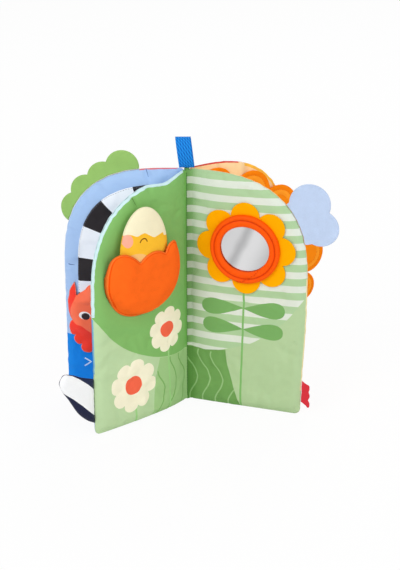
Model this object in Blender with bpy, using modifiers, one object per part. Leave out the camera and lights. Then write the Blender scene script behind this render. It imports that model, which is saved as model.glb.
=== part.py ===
"""A baby's cloth book that stands with its padded leaves fanned out.

Four stuffed leaves turn about one upright spine. A page is drawn in its own
plane: u runs from the spine to the outer seam, v runs up, and w is the height
over the middle of the padding. Metres, +Z up, with the origin at the foot of
the spine.
"""

import math
from collections import namedtuple

import bmesh
import bpy
from mathutils import Matrix, Vector
from mathutils.geometry import delaunay_2d_cdt

# Cloth, seams and clearances
CLOTH = 0.00035
SEAM_GAP = 0.0003
FIT_GAP = 0.0003
WELD = 0.00001

# Page outline
PAGE_WIDTH = 0.100
PAGE_HEIGHT = 0.200
PAGE_ARC_WIDTH = 0.092
PAGE_ARC_HEIGHT = 0.090
PAGE_ARC_POWER = 2.75
OUTER_CORNER = 0.005
SPINE_CORNER = 0.003

# Padding of a leaf
LEAF_HALF = 0.0042
SEAM_EDGE_HALF = 0.00055
SHOULDER = 0.015
SPINE_TAPER = 0.028
SPINE_TAPER_POWER = 1.5
WADDING_INSET = 0.0012
WADDING_DROP = 0.0009
FILM = 0.00025
BEND_LENGTH = 0.030

# Spine
SPINE_RADIUS = 0.0021
SPINE_SIDES = 24
PAGE_START = SPINE_RADIUS + FIT_GAP

# Carrying loop at the head of the spine
TAPE_WIDTH = 0.012
TAPE = 0.0010
LOOP_HEIGHT = 0.025
LOOP_WIDTH = 0.0120
LOOP_LEAN = 0.003

# Mirror flower
FLOWER_CENTRE_SHARES = (0.503, 0.700)
PETAL_COUNT = 8
PETAL_TURN_SHARE = 0.03
FLOWER_HALF_WIDTH = 0.0410
FLOWER_HALF_HEIGHT = 0.0380
PETAL_RADIUS = 0.0118
PETAL_CLOTH = 0.0010
RING_OUTER = 0.0285
RING_INNER = 0.0200
RING_HEIGHT = 0.0040
RING_STEPS = 44
MIRROR_LAP = 0.0014
MIRROR_FILM = 0.0005

# Tulip pocket and the egg toy in it
TULIP_CENTRE_SHARES = (0.550, 0.610)
TULIP_WIDTH = 0.072
TULIP_HEIGHT = 0.054
TULIP_CLOTH = 0.0014
TULIP_SHOULDER = 0.020
EGG_CENTRE_SHARES = (0.570, 0.750)
EGG_HALF_WIDTH = 0.0225
EGG_HALF_HEIGHT = 0.034
EGG_HALF_DEPTH = 0.0056
EGG_TAPER_SHARE = 0.04
EGG_SIDES = 24
EGG_RINGS = 12
EGG_FILLING_SIDES = 16
EGG_FILLING_RINGS = 10
EGG_SEAM_HALF = 0.0006

# Felt tabs, tail tab and label sewn into the outer seams
FELT = 0.0018
LOBE_RADIUS = 0.0150
CLOUD_LOBE_SHARES = ((1.000, 0.900, 1.10), (1.090, 0.800, 1.00), (0.960, 0.830, 1.27))
BUSH_LOBE_SHARES = (
    (0.880, 0.820, 0.90),
    (0.800, 0.895, 0.87),
    (0.660, 0.950, 0.90),
    (0.510, 1.000, 0.90),
    (0.720, 0.860, 1.33),
)
TAIL_LENGTH = 0.031
TAIL_HEIGHT = 0.049
TAIL_FOOT = 0.011
TAIL_HALF = 0.0028
TAIL_SHOULDER = 0.007
LABEL_LENGTH = 0.0075
LABEL_HEIGHT = 0.0235
LABEL_FOOT = 0.0065
LABEL_CLOTH = 0.0009

# Pieces on the inside of the left cover
BAND_OUTSET = 0.012
BAND_WIDTH = 0.021
BAND_CLOTH = 0.0012
BAND_SPINE_START = 0.027
BAND_FOOT_SHARE = 0.44
FISH_CENTRE_SHARES = (0.740, 0.355)
FISH_LENGTH = 0.050
FISH_HEIGHT = 0.064
FISH_PADDING = 0.0050
FISH_SHOULDER = 0.009

# Large flower on the inside of the right cover
BIG_PETAL_RADIUS = 0.0165
BIG_PETAL_SHARES = (
    (0.250, 0.900, 1.00),
    (0.590, 0.840, 1.20),
    (0.870, 0.750, 1.25),
    (1.070, 0.640, 1.10),
    (1.205, 0.515, 1.00),
    (1.155, 0.372, 0.78),
    (0.960, 0.260, 1.00),
    (0.700, 0.185, 1.00),
)
BIG_FLOWER_SPINE_START = 0.024
BIG_FLOWER_CLOTH = 0.0014
BIG_CENTRE_SHARES = (0.640, 0.520)
BIG_CENTRE_RADIUS = 0.027
BIG_CENTRE_PADDING = 0.0030
BIG_CENTRE_SHOULDER = 0.010

# Fineness of the meshes
COLUMN_ANGLES = (16, 25, 35, 46, 57, 67, 76, 84, 90)
SPINE_COLUMN_SHARES = (0.0, 0.09, 0.27, 0.56, 1.0)
ROW_SHARES = (0.0, 0.008, 0.03, 0.075, 0.22, 0.42, 0.62, 0.80, 0.92, 0.97, 0.992, 1.0)
WADDING_COLUMN_ANGLES = (12, 28, 45, 62, 78, 90)
WADDING_ROW_SHARES = (0.0, 0.025, 0.085, 0.3, 0.6, 0.82, 0.94, 1.0)
LATTICE = 0.0075
OUTLINE_STEPS = 4
CIRCLE_SIDES = 32
PETAL_SIDES = 20
LOOP_STEPS = 28
BEND_STEPS = 24

# A leaf's outer half points along direction, and near the spine it is turned
# by bend, both in degrees. Its positive side faces anticlockwise.
Leaf = namedtuple("Leaf", "name direction bend")
RIGHT_COVER = Leaf("right_cover", 34.7, 0.0)
STRIPED_LEAF = Leaf("striped_leaf", -19.1, 0.0)
LEFT_COVER = Leaf("left_cover", 169.4, 14.9)
GREEN_LEAF = Leaf("green_leaf", 216.8, 19.8)


def clear_scene():
    """Empty the scene and return the collection for the parts."""
    for item in list(bpy.data.objects):
        bpy.data.objects.remove(item, do_unlink=True)
    parts = bpy.data.collections.new("baby_soft_book")
    bpy.context.scene.collection.children.link(parts)
    return parts


PARTS = clear_scene()


def fabric(name, colour, roughness=0.85, metallic=0.0):
    """A plain material with one colour."""
    made = bpy.data.materials.new(name)
    made.use_nodes = True
    shader = made.node_tree.nodes["Principled BSDF"]
    shader.inputs["Base Color"].default_value = (*colour, 1.0)
    shader.inputs["Roughness"].default_value = roughness
    shader.inputs["Metallic"].default_value = metallic
    return made


def add_object(name, mesh, look, parent=None):
    """Put a mesh in the parts collection under its own name."""
    mesh.materials.clear()
    mesh.materials.append(look)
    made = bpy.data.objects.new(name, mesh)
    PARTS.objects.link(made)
    made.parent = parent
    return made


def add_axis(leaf):
    """An empty on the spine's axis that carries one leaf."""
    axis = bpy.data.objects.new(leaf.name + "_axis", None)
    axis.rotation_euler = (0.0, 0.0, math.radians(leaf.direction))
    PARTS.objects.link(axis)
    return axis


def shoulder(depth, reach):
    """Share of the padding's height at a depth in from a seam."""
    share = min(max(depth / reach, 0.0), 1.0)
    return math.sqrt(1.0 - (1.0 - share) ** 2)


def top_edge(u, inset):
    """Height of the page's top edge over the point u."""
    arc_start = PAGE_WIDTH - PAGE_ARC_WIDTH
    across = max(u - arc_start, 0.0) / (PAGE_ARC_WIDTH - inset)
    across = min(across, 1.0)
    drop = (1.0 - across**PAGE_ARC_POWER) ** (1.0 / PAGE_ARC_POWER)
    height = PAGE_HEIGHT - PAGE_ARC_HEIGHT + (PAGE_ARC_HEIGHT - inset) * drop
    return height - corner_rise(u - PAGE_START - inset, SPINE_CORNER)


def bottom_edge(u, inset):
    """Height of the page's bottom edge over the point u."""
    rise = corner_rise(u - PAGE_START - inset, SPINE_CORNER)
    rise = max(rise, corner_rise(PAGE_WIDTH - inset - u, OUTER_CORNER))
    return inset + rise


def corner_rise(depth, radius):
    """How far a rounded corner lifts the edge at a depth in from the side."""
    short = min(max(radius - depth, 0.0), radius)
    return radius - math.sqrt(radius**2 - short**2)


def spine_taper(u):
    """Half thickness of a leaf that only the spine thins."""
    share = min(max((u - PAGE_START) / SPINE_TAPER, 0.0), 1.0)
    swell = 1.0 - (1.0 - share) ** SPINE_TAPER_POWER
    return SEAM_EDGE_HALF + (LEAF_HALF - SEAM_EDGE_HALF) * swell


def leaf_half(u, v):
    """Half thickness of a stuffed leaf."""
    across = max(u - PAGE_WIDTH + PAGE_ARC_WIDTH, 0.0) / PAGE_ARC_WIDTH
    upward = max(v - PAGE_HEIGHT + PAGE_ARC_HEIGHT, 0.0) / PAGE_ARC_HEIGHT
    reach = (across**PAGE_ARC_POWER + upward**PAGE_ARC_POWER) ** (1.0 / PAGE_ARC_POWER)
    arc_depth = (1.0 - reach) * PAGE_ARC_HEIGHT
    foot_depth = v - bottom_edge(u, 0.0)
    swell = shoulder(arc_depth, SHOULDER) * shoulder(foot_depth, SHOULDER)
    return SEAM_EDGE_HALF + (spine_taper(u) - SEAM_EDGE_HALF) * swell


def page_columns(angles, inset):
    """Places across the page: close together where the outline curves."""
    arc_start = PAGE_WIDTH - PAGE_ARC_WIDTH
    arc_width = PAGE_ARC_WIDTH - inset
    columns = [PAGE_START + inset + SPINE_TAPER * share for share in SPINE_COLUMN_SHARES]
    for angle in angles:
        u = arc_start + arc_width * math.sin(math.radians(angle)) ** (2.0 / PAGE_ARC_POWER)
        if u > columns[-1] + SPINE_CORNER or angle == angles[-1]:
            columns.append(u)
    return columns


def page_grid(columns, row_shares, inset, height):
    """One face of a page as a grid: height gives w at a point of it."""
    grid = bmesh.new()
    across, upward = len(columns) - 1, len(row_shares) - 1
    bmesh.ops.create_grid(grid, x_segments=across, y_segments=upward, size=1.0)
    for vert in grid.verts:
        column = round((vert.co.x + 1.0) / 2.0 * across)
        row = round((vert.co.y + 1.0) / 2.0 * upward)
        u = columns[column]
        low, high = bottom_edge(u, inset), top_edge(u, inset)
        v = low + (high - low) * row_shares[row]
        vert.co = Vector((u, height(u, v), v))
    return grid


def bend_point(leaf, u, w):
    """Plan position of a point on a leaf that curves near the spine."""
    turn = math.radians(leaf.bend)
    step = u / BEND_STEPS
    x = y = 0.0
    for index in range(BEND_STEPS):
        middle = (index + 0.5) * step
        angle = turn * math.exp(-middle / BEND_LENGTH)
        x += step * math.cos(angle)
        y += step * math.sin(angle)
    angle = turn * math.exp(-u / BEND_LENGTH)
    return x - w * math.sin(angle), y + w * math.cos(angle), angle


def bend_mesh(shape, leaf):
    """Lay every corner of a flat page shape on its curved leaf."""
    for vert in shape.verts:
        x, y, _ = bend_point(leaf, vert.co.x, vert.co.y)
        vert.co.x, vert.co.y = x, y


def face_side(shape, side):
    """Turn the faces of an open sheet towards its own side of the leaf."""
    shape.normal_update()
    total = sum((face.normal * face.calc_area() for face in shape.faces), Vector())
    if total.y * side < 0.0:
        bmesh.ops.reverse_faces(shape, faces=shape.faces)


def face_out(shape):
    """Point every face of a closed body outwards."""
    bmesh.ops.recalc_face_normals(shape, faces=shape.faces)
    if shape.calc_volume(signed=True) < 0.0:
        bmesh.ops.reverse_faces(shape, faces=shape.faces)


def drop_wall(shape, w):
    """Run a wall from the rim of a sheet down to the height w."""
    rim = [edge for edge in shape.edges if edge.is_boundary]
    grown = bmesh.ops.extrude_edge_only(shape, edges=rim)["geom"]
    for item in grown:
        if isinstance(item, bmesh.types.BMVert):
            item.co.y = w


def store(shape, name, smooth_angle=50.0):
    """Turn a bmesh into a mesh, smooth but for its sharp edges."""
    mesh = bpy.data.meshes.new(name)
    shape.to_mesh(mesh)
    shape.free()
    mesh.shade_smooth()
    mesh.set_sharp_from_angle(angle=math.radians(smooth_angle))
    return mesh


def add_thickness(made, thickness, offset):
    """Give an open sheet its thickness; offset -1 grows it inwards."""
    solid = made.modifiers.new("thickness", "SOLIDIFY")
    solid.thickness = thickness
    solid.offset = offset
    return made


def add_panel(name, leaf, axis, side, look):
    """The sewn cloth panel on one side of a leaf, open towards the seam."""
    columns = page_columns(COLUMN_ANGLES, 0.0)
    shape = page_grid(columns, ROW_SHARES, 0.0, lambda u, v: side * leaf_half(u, v))
    drop_wall(shape, side * SEAM_GAP / 2.0)
    face_side(shape, side)
    bend_mesh(shape, leaf)
    return add_thickness(add_object(name, store(shape, name), look, axis), CLOTH, -1.0)


def add_wadding(name, leaf, axis, look, front_limit=LEAF_HALF, film_side=1.0):
    """The padding inside a leaf, thinner on the side that holds a film."""
    columns = page_columns(WADDING_COLUMN_ANGLES, WADDING_INSET)

    def height(side):
        limit = front_limit if side == film_side else LEAF_HALF
        return lambda u, v: side * min(leaf_half(u, v) - WADDING_DROP, limit)

    def clear_height(side):
        thin = SEAM_EDGE_HALF / 2.0
        return lambda u, v: side * max(side * height(side)(u, v), thin)

    body = page_grid(columns, WADDING_ROW_SHARES, WADDING_INSET, clear_height(1.0))
    drop_wall(body, 0.0)
    face_side(body, 1.0)
    back = page_grid(columns, WADDING_ROW_SHARES, WADDING_INSET, clear_height(-1.0))
    drop_wall(back, 0.0)
    face_side(back, -1.0)
    half = bpy.data.meshes.new(name)
    back.to_mesh(half)
    back.free()
    body.from_mesh(half)
    bpy.data.meshes.remove(half)
    bmesh.ops.remove_doubles(body, verts=body.verts, dist=WELD)
    face_out(body)
    bend_mesh(body, leaf)
    return add_object(name, store(body, name), look, axis)


def page_outline(inset, start):
    """The page's outline, moved in by inset and cut off at u = start."""
    columns = [u for u in page_columns(COLUMN_ANGLES, inset) if u > start]
    lower = [Vector((u, bottom_edge(u, inset))) for u in [start, *columns]]
    upper = [Vector((u, top_edge(u, inset))) for u in [start, *columns]]
    return lower + upper[::-1]


def circle(centre, radius, sides=CIRCLE_SIDES):
    """A round outline about a point of the page."""
    turn = math.tau / sides
    return [
        Vector((centre[0] + radius * math.cos(turn * k), centre[1] + radius * math.sin(turn * k)))
        for k in range(sides)
    ]


def on_page(shares):
    """A point of the page from its shares of the width and height."""
    return Vector((PAGE_WIDTH * shares[0], PAGE_HEIGHT * shares[1]))


def smooth_outline(points, sharp=()):
    """A closed curve through the points, with corners at the sharp ones."""
    count = len(points)
    result = []
    for index in range(count):
        before, here = points[index - 1], points[index]
        after, last = points[(index + 1) % count], points[(index + 2) % count]
        leave = Vector() if index in sharp else (after - before) / 2.0
        arrive = Vector() if (index + 1) % count in sharp else (last - here) / 2.0
        if leave.length == 0.0:
            leave = after - here
        if arrive.length == 0.0:
            arrive = after - here
        leave, arrive = leave.to_2d(), arrive.to_2d()
        for step in range(OUTLINE_STEPS):
            t = step / OUTLINE_STEPS
            result.append(
                here * (2 * t**3 - 3 * t**2 + 1)
                + leave * (t**3 - 2 * t**2 + t)
                + after * (3 * t**2 - 2 * t**3)
                + arrive * (t**3 - t**2)
            )
    return result


def edge_distance(point, outline):
    """Least distance from a point to a closed outline."""
    best = PAGE_HEIGHT
    for a, b in zip(outline, outline[1:] + outline[:1]):
        along = b - a
        share = min(max((point - a).dot(along) / along.length_squared, 0.0), 1.0)
        best = min(best, (a + along * share - point).length)
    return best


def anticlockwise(outline):
    """The outline, run round anticlockwise."""
    pairs = zip(outline, outline[1:] + outline[:1])
    area = sum(a.x * b.y - b.x * a.y for a, b in pairs)
    return outline if area > 0.0 else outline[::-1]


def lattice_points(outlines, spacing):
    """Points in staggered rows inside the outlines and clear of every edge."""
    us = [point.x for outline in outlines for point in outline]
    vs = [point.y for outline in outlines for point in outline]
    rise = spacing * math.sqrt(3.0) / 2.0
    found = []
    for row in range(1, int((max(vs) - min(vs)) / rise) + 1):
        shift = spacing / 2.0 if row % 2 else 0.0
        for column in range(int((max(us) - min(us)) / spacing) + 1):
            point = Vector((min(us) + shift + column * spacing, min(vs) + row * rise))
            if min(edge_distance(point, outline) for outline in outlines) > spacing / 2.0:
                found.append(point)
    return found


def filled_sheet(kept, cut=(), spacing=LATTICE, height=None):
    """A triangulated sheet over the kept outlines less the cut ones."""
    outlines = [anticlockwise(outline) for outline in [*kept, *cut]]
    points, faces = [], []
    for outline in outlines:
        faces.append(list(range(len(points), len(points) + len(outline))))
        points.extend(outline)
    points.extend(lattice_points(outlines, spacing))
    made = delaunay_2d_cdt(points, [], faces, 0, WELD)
    corners, triangles, sources = made[0], made[2], made[5]
    shape = bmesh.new()
    verts = [shape.verts.new((p.x, height(p.x, p.y) if height else 0.0, p.y)) for p in corners]
    for triangle, source in zip(triangles, sources):
        if any(n < len(kept) for n in source) and not any(n >= len(kept) for n in source):
            shape.faces.new([verts[n] for n in triangle])
    loose = [vert for vert in shape.verts if not vert.link_faces]
    bmesh.ops.delete(shape, geom=loose, context="VERTS")
    return shape


def add_sheet(name, leaf, axis, side, look, thickness, kept, cut=(), spacing=LATTICE):
    """A cloth shape sewn flat on one side of a leaf."""

    def height(u, _):
        return side * (spine_taper(u) + FIT_GAP + thickness)

    shape = filled_sheet(kept, cut, spacing, height)
    face_side(shape, side)
    bend_mesh(shape, leaf)
    return add_thickness(add_object(name, store(shape, name), look, axis), thickness, -1.0)


def add_seam_tab(name, leaf, axis, look, lobe_shares):
    """A felt tab of round lobes that stands out of a leaf's outer seam."""
    kept = [circle(on_page(lobe[:2]), LOBE_RADIUS * lobe[2]) for lobe in lobe_shares]
    cut = [page_outline(-FIT_GAP, -PAGE_START)]
    shape = filled_sheet(kept, cut, spacing=2.0 * LATTICE)
    face_side(shape, 1.0)
    bend_mesh(shape, leaf)
    return add_thickness(add_object(name, store(shape, name), look, axis), FELT, 0.0)


def seat(made, leaf, u, w, v):
    """Place an object on a curved leaf with its y axis along w."""
    x, y, angle = bend_point(leaf, u, w)
    made.location = (x, y, v)
    made.rotation_euler = (0.0, 0.0, angle)
    return made


def add_spine(look):
    """The stitched roll that every leaf is sewn to."""
    shape = bmesh.new()
    bmesh.ops.create_cone(
        shape,
        cap_ends=True,
        segments=SPINE_SIDES,
        radius1=SPINE_RADIUS,
        radius2=SPINE_RADIUS,
        depth=PAGE_HEIGHT,
        matrix=Matrix.Translation((0.0, 0.0, PAGE_HEIGHT / 2.0)),
    )
    return add_object("spine_binding", store(shape, "spine_binding"), look)


def add_ribbon_loop(look):
    """A length of tape folded into a loop over the head of the spine."""
    shape = bmesh.new()
    bmesh.ops.create_grid(shape, x_segments=3, y_segments=LOOP_STEPS, size=1.0)
    foot = PAGE_HEIGHT + FIT_GAP + TAPE / 2.0
    reach = PAGE_HEIGHT + LOOP_HEIGHT - TAPE / 2.0 - foot
    swell = (LOOP_WIDTH - TAPE) / 2.0
    leg = (TAPE + FIT_GAP) / 2.0
    for vert in shape.verts:
        share = (vert.co.y + 1.0) / 2.0
        rise = (1.0 - math.cos(math.tau * share)) / 2.0
        open_share = abs(math.sin(math.tau * share)) * rise**0.25
        width = 0.0 if share == 0.5 else leg + (swell - leg) * open_share
        y = math.copysign(width, share - 0.5)
        z = foot + reach * rise
        x = vert.co.x * TAPE_WIDTH / 2.0 - LOOP_LEAN * rise
        vert.co = Vector((x, y, z))
    made = add_object("spine_ribbon_loop", store(shape, "spine_ribbon_loop"), look)
    return add_thickness(made, TAPE, 0.0)


def add_film(name, leaf, axis, side, look):
    """The crackling film between the padding and one page panel."""
    outline = page_outline(SHOULDER + WADDING_INSET, PAGE_START + SPINE_TAPER)
    foot = SHOULDER + WADDING_INSET
    outline = [Vector((p.x, max(p.y, foot))) for p in outline]
    level = LEAF_HALF - CLOTH - FIT_GAP
    shape = filled_sheet([outline], spacing=4.0 * LATTICE, height=lambda u, v: side * level)
    face_side(shape, side)
    bend_mesh(shape, leaf)
    return add_thickness(add_object(name, store(shape, name), look, axis), FILM, -1.0)


def add_flower(leaf, axis, side, petal_look, ring_look, mirror_look):
    """Eight round petals, the mirror film and the padded ring that holds it."""
    centre = on_page(FLOWER_CENTRE_SHARES)
    reach = Vector((FLOWER_HALF_WIDTH - PETAL_RADIUS, FLOWER_HALF_HEIGHT - PETAL_RADIUS))
    kept = [circle(centre, RING_OUTER)]
    for k in range(PETAL_COUNT):
        turn = math.tau * (k + PETAL_TURN_SHARE) / PETAL_COUNT
        middle = centre + reach * Vector((math.cos(turn), math.sin(turn)))
        kept.append(circle(middle, PETAL_RADIUS, PETAL_SIDES))
    add_sheet("flower_petals", leaf, axis, side, petal_look, PETAL_CLOTH, kept, (), 1.5 * LATTICE)

    level = LEAF_HALF + FIT_GAP + PETAL_CLOTH + FIT_GAP
    add_mirror(leaf, axis, side, centre, level, mirror_look)
    add_ring(leaf, axis, side, centre, level, ring_look)


def add_mirror(leaf, axis, side, centre, level, look):
    """The round mirror film under the ring's inner lip."""
    shape = bmesh.new()
    bmesh.ops.create_cone(
        shape,
        cap_ends=True,
        segments=RING_STEPS,
        radius1=RING_INNER + MIRROR_LAP,
        radius2=RING_INNER + MIRROR_LAP,
        depth=MIRROR_FILM,
        matrix=Matrix.Rotation(math.pi / 2.0, 4, "X"),
    )
    made = add_object("mirror_film", store(shape, "mirror_film"), look, axis)
    seat(made, leaf, centre.x, side * (level + MIRROR_FILM / 2.0), centre.y)


def add_ring(leaf, axis, side, centre, level, look):
    """The padded ring: two ridges with a stitched groove between them."""
    lip = MIRROR_FILM + FIT_GAP
    rebate = RING_INNER + MIRROR_LAP + FIT_GAP
    width = RING_OUTER - RING_INNER
    inner_shares = [(0.0, 0.45), (0.05, 0.72), (0.22, 0.92), (0.40, 0.84)]
    outer_shares = [(0.52, 0.60), (0.62, 0.86), (0.78, 1.0), (0.93, 0.78), (1.0, 0.30), (0.96, 0.0)]
    profile = [(RING_INNER + width * s, RING_HEIGHT * h) for s, h in outer_shares]
    profile += [(rebate, 0.0), (rebate, lip), (RING_INNER + CLOTH, lip)]
    profile += [(RING_INNER + width * s, RING_HEIGHT * h) for s, h in inner_shares]
    mesh = bpy.data.meshes.new("mirror_ring")
    count = len(profile)
    edges = [(k, (k + 1) % count) for k in range(count)]
    mesh.from_pydata([(r, 0.0, h) for r, h in profile], edges, [])
    made = add_object("mirror_ring", mesh, look, axis)
    turned = made.modifiers.new("turned", "SCREW")
    turned.steps = turned.render_steps = RING_STEPS
    turned.use_merge_vertices = True
    turned.merge_threshold = WELD
    turned.use_smooth_shade = True
    seat(made, leaf, centre.x, side * level, centre.y)
    made.rotation_euler.x = -side * math.pi / 2.0


def tulip_outline():
    """Three petals over a round cup."""
    shares = [
        (0.32, 0.56), (0.41, 0.55), (0.47, 0.45), (0.50, 0.20), (0.49, -0.02),
        (0.43, -0.21), (0.33, -0.39), (0.19, -0.495), (0.01, -0.525), (-0.19, -0.465),
        (-0.355, -0.325), (-0.455, -0.11), (-0.485, 0.15), (-0.44, 0.315), (-0.385, 0.44),
        (-0.355, 0.53), (-0.305, 0.575), (-0.245, 0.55), (-0.21, 0.49), (-0.19, 0.43),
        (-0.12, 0.48), (-0.03, 0.495), (0.06, 0.46), (0.14, 0.385), (0.215, 0.48),
    ]  # fmt: skip
    centre = on_page(TULIP_CENTRE_SHARES)
    points = [centre + Vector((TULIP_WIDTH * a, TULIP_HEIGHT * b)) for a, b in shares]
    return smooth_outline(points, sharp=(19, 23))


def add_tulip(leaf, axis, side, look):
    """A pocket sewn down at its sides and foot that bulges over the toy."""
    centre = on_page(TULIP_CENTRE_SHARES)
    cup_radius = TULIP_WIDTH / 2.0
    cup_level = centre.y - TULIP_HEIGHT / 2.0 + cup_radius
    bulge = 2.0 * EGG_HALF_DEPTH + 2.0 * FIT_GAP

    def height(u, v):
        down = min(v - cup_level, 0.0)
        reach = math.hypot(u - centre.x, down)
        swell = shoulder(cup_radius - reach, TULIP_SHOULDER)
        return side * (spine_taper(u) + FIT_GAP + TULIP_CLOTH + bulge * swell)

    shape = filled_sheet([tulip_outline()], spacing=0.8 * LATTICE, height=height)
    face_side(shape, side)
    bend_mesh(shape, leaf)
    made = add_object("tulip_pocket", store(shape, "tulip_pocket"), look, axis)
    return add_thickness(made, TULIP_CLOTH, -1.0)


def egg_shape(grow, depth, sides, rings):
    """An egg with a flatter front and back; grow moves its surface out."""
    shape = bmesh.new()
    bmesh.ops.create_uvsphere(shape, u_segments=sides, v_segments=rings, radius=1.0)
    for vert in shape.verts:
        narrow = 1.0 - EGG_TAPER_SHARE * vert.co.z
        x = vert.co.x * (EGG_HALF_WIDTH + grow) * narrow
        z = vert.co.z * (EGG_HALF_HEIGHT + grow)
        vert.co = Vector((x, vert.co.y * depth, z))
    return shape


def add_egg_panel(name, leaf, axis, place, side, look):
    """One cloth half of the stuffed egg, cut off a little off its seam."""
    shape = egg_shape(0.0, EGG_HALF_DEPTH, EGG_SIDES, EGG_RINGS)
    rest = shape.verts[:] + shape.edges[:] + shape.faces[:]
    bmesh.ops.bisect_plane(
        shape,
        geom=rest,
        dist=WELD,
        plane_co=(0.0, side * EGG_SEAM_HALF, 0.0),
        plane_no=(0.0, side, 0.0),
        clear_inner=True,
    )
    drop_wall(shape, side * SEAM_GAP / 2.0)
    face_side(shape, side)
    made = add_object(name, store(shape, name), look, axis)
    seat(made, leaf, *place)
    return add_thickness(made, CLOTH, -1.0)


def add_egg(leaf, axis, side, shell_look, back_look, filling_look):
    """The stuffed egg toy that stands in the tulip pocket."""
    centre = on_page(EGG_CENTRE_SHARES)
    place = (centre.x, side * (LEAF_HALF + FIT_GAP + EGG_HALF_DEPTH), centre.y)
    add_egg_panel("egg_toy_front", leaf, axis, place, side, shell_look)
    add_egg_panel("egg_toy_back", leaf, axis, place, -side, back_look)
    inner = -(CLOTH + 2.0 * FIT_GAP)
    depth = EGG_HALF_DEPTH + inner
    shape = egg_shape(2.0 * inner, depth, EGG_FILLING_SIDES, EGG_FILLING_RINGS)
    made = add_object("egg_toy_filling", store(shape, "egg_toy_filling"), filling_look, axis)
    seat(made, leaf, *place)


def domed(outline, level, padding, reach):
    """Height of a padded shape: it rises from its own outline."""
    return lambda u, v: level + padding * shoulder(edge_distance(Vector((u, v)), outline), reach)


def tail_outline(inset):
    """A fin that rises out of the lower outer seam."""
    shares = [
        (0.0, 0.0), (0.22, 0.09), (0.48, 0.26), (0.75, 0.55), (0.92, 0.72),
        (1.0, 0.88), (0.86, 1.0), (0.62, 0.96), (0.32, 0.86), (0.0, 0.78),
    ]  # fmt: skip
    start = PAGE_WIDTH + FIT_GAP
    corners = [Vector((start + TAIL_LENGTH * a, TAIL_FOOT + TAIL_HEIGHT * b)) for a, b in shares]
    outline = smooth_outline(corners, sharp=(0, 9))
    if inset == 0.0:
        return outline
    middle = sum(outline, Vector((0.0, 0.0))) / len(outline)
    return [p + (middle - p).normalized() * inset for p in outline]


def add_tail(leaf, axis, front_look, back_look, filling_look):
    """Two cloth panels and their filling, sewn into the green leaf's seam."""
    outline = tail_outline(0.0)
    rise = TAIL_HALF - SEAM_EDGE_HALF
    spacing = 0.7 * LATTICE
    sides = (("tail_tab_front", 1.0, front_look), ("tail_tab_back", -1.0, back_look))
    for name, side, look in sides:
        height = domed(outline, SEAM_EDGE_HALF, rise, TAIL_SHOULDER)
        shape = filled_sheet([outline], spacing=spacing, height=height)
        for vert in shape.verts:
            vert.co.y *= side
        drop_wall(shape, side * SEAM_GAP / 2.0)
        face_side(shape, side)
        bend_mesh(shape, leaf)
        add_thickness(add_object(name, store(shape, name), look, axis), CLOTH, -1.0)
    inner = tail_outline(2.0 * WADDING_INSET)
    height = domed(inner, SEAM_EDGE_HALF / 2.0, rise - WADDING_DROP, TAIL_SHOULDER)
    shape = filled_sheet([inner], spacing=spacing, height=height)
    face_side(shape, 1.0)
    mirrored_fill(shape)
    bend_mesh(shape, leaf)
    add_object("tail_tab_filling", store(shape, "tail_tab_filling"), filling_look, axis)


def mirrored_fill(shape):
    """Close a half pillow with its own mirror image across w = 0."""
    drop_wall(shape, 0.0)
    everything = shape.verts[:] + shape.edges[:] + shape.faces[:]
    bmesh.ops.mirror(shape, geom=everything, matrix=Matrix(), merge_dist=WELD, axis="Y")
    face_out(shape)


def add_padded_piece(name, leaf, axis, side, look, outline, level, padding, reach):
    """A padded shape with a flat back, sewn on one side of a leaf."""
    height = domed(outline, level + CLOTH, padding - CLOTH, reach)
    shape = filled_sheet([outline], spacing=0.8 * LATTICE, height=height)
    flat = filled_sheet([outline], spacing=0.8 * LATTICE, height=lambda u, v: level)
    back = bpy.data.meshes.new(name)
    flat.to_mesh(back)
    flat.free()
    drop_wall(shape, level)
    shape.from_mesh(back)
    bpy.data.meshes.remove(back)
    bmesh.ops.remove_doubles(shape, verts=shape.verts, dist=WELD)
    for vert in shape.verts:
        vert.co.y *= side
    face_out(shape)
    bend_mesh(shape, leaf)
    return add_object(name, store(shape, name), look, axis)


def fish_outline():
    """A round fish with a crest, a lobed belly fin and a forked tail."""
    shares = [
        (0.345, 0.50), (0.43, 0.40), (0.48, 0.30), (0.495, 0.17), (0.485, 0.06),
        (0.44, -0.07), (0.465, -0.16), (0.41, -0.255), (0.37, -0.29), (0.35, -0.37),
        (0.285, -0.405), (0.25, -0.47), (0.14, -0.50), (0.07, -0.445), (-0.04, -0.375),
        (-0.16, -0.30), (-0.32, -0.33), (-0.48, -0.375), (-0.41, -0.17), (-0.48, 0.05),
        (-0.32, 0.06), (-0.20, 0.14), (-0.08, 0.33), (0.07, 0.46), (0.16, 0.43),
        (0.25, 0.35), (0.31, 0.31), (0.315, 0.41),
    ]  # fmt: skip
    centre = on_page(FISH_CENTRE_SHARES)
    points = [centre + Vector((FISH_LENGTH * a, FISH_HEIGHT * b)) for a, b in shares]
    return smooth_outline(points, sharp=(0, 5, 8, 10, 18, 26))


def add_left_cover_pieces(leaf, axis, side, band_look, fish_look):
    """The striped arch and the padded fish on the sea page."""
    outer = page_outline(BAND_OUTSET, BAND_SPINE_START)
    inner = page_outline(BAND_OUTSET + BAND_WIDTH, -PAGE_START)
    foot = PAGE_HEIGHT * BAND_FOOT_SHARE
    below = [Vector((-PAGE_START, -PAGE_START)), Vector((PAGE_HEIGHT, -PAGE_START))]
    below += [Vector((PAGE_HEIGHT, foot)), Vector((-PAGE_START, foot))]
    cut = [inner, below]
    add_sheet("striped_band", leaf, axis, side, band_look, BAND_CLOTH, [outer], cut, 0.8 * LATTICE)
    level = LEAF_HALF + FIT_GAP + BAND_CLOTH + FIT_GAP
    shape = (fish_outline(), level, FISH_PADDING, FISH_SHOULDER)
    add_padded_piece("fish_applique", leaf, axis, side, fish_look, *shape)


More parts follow.
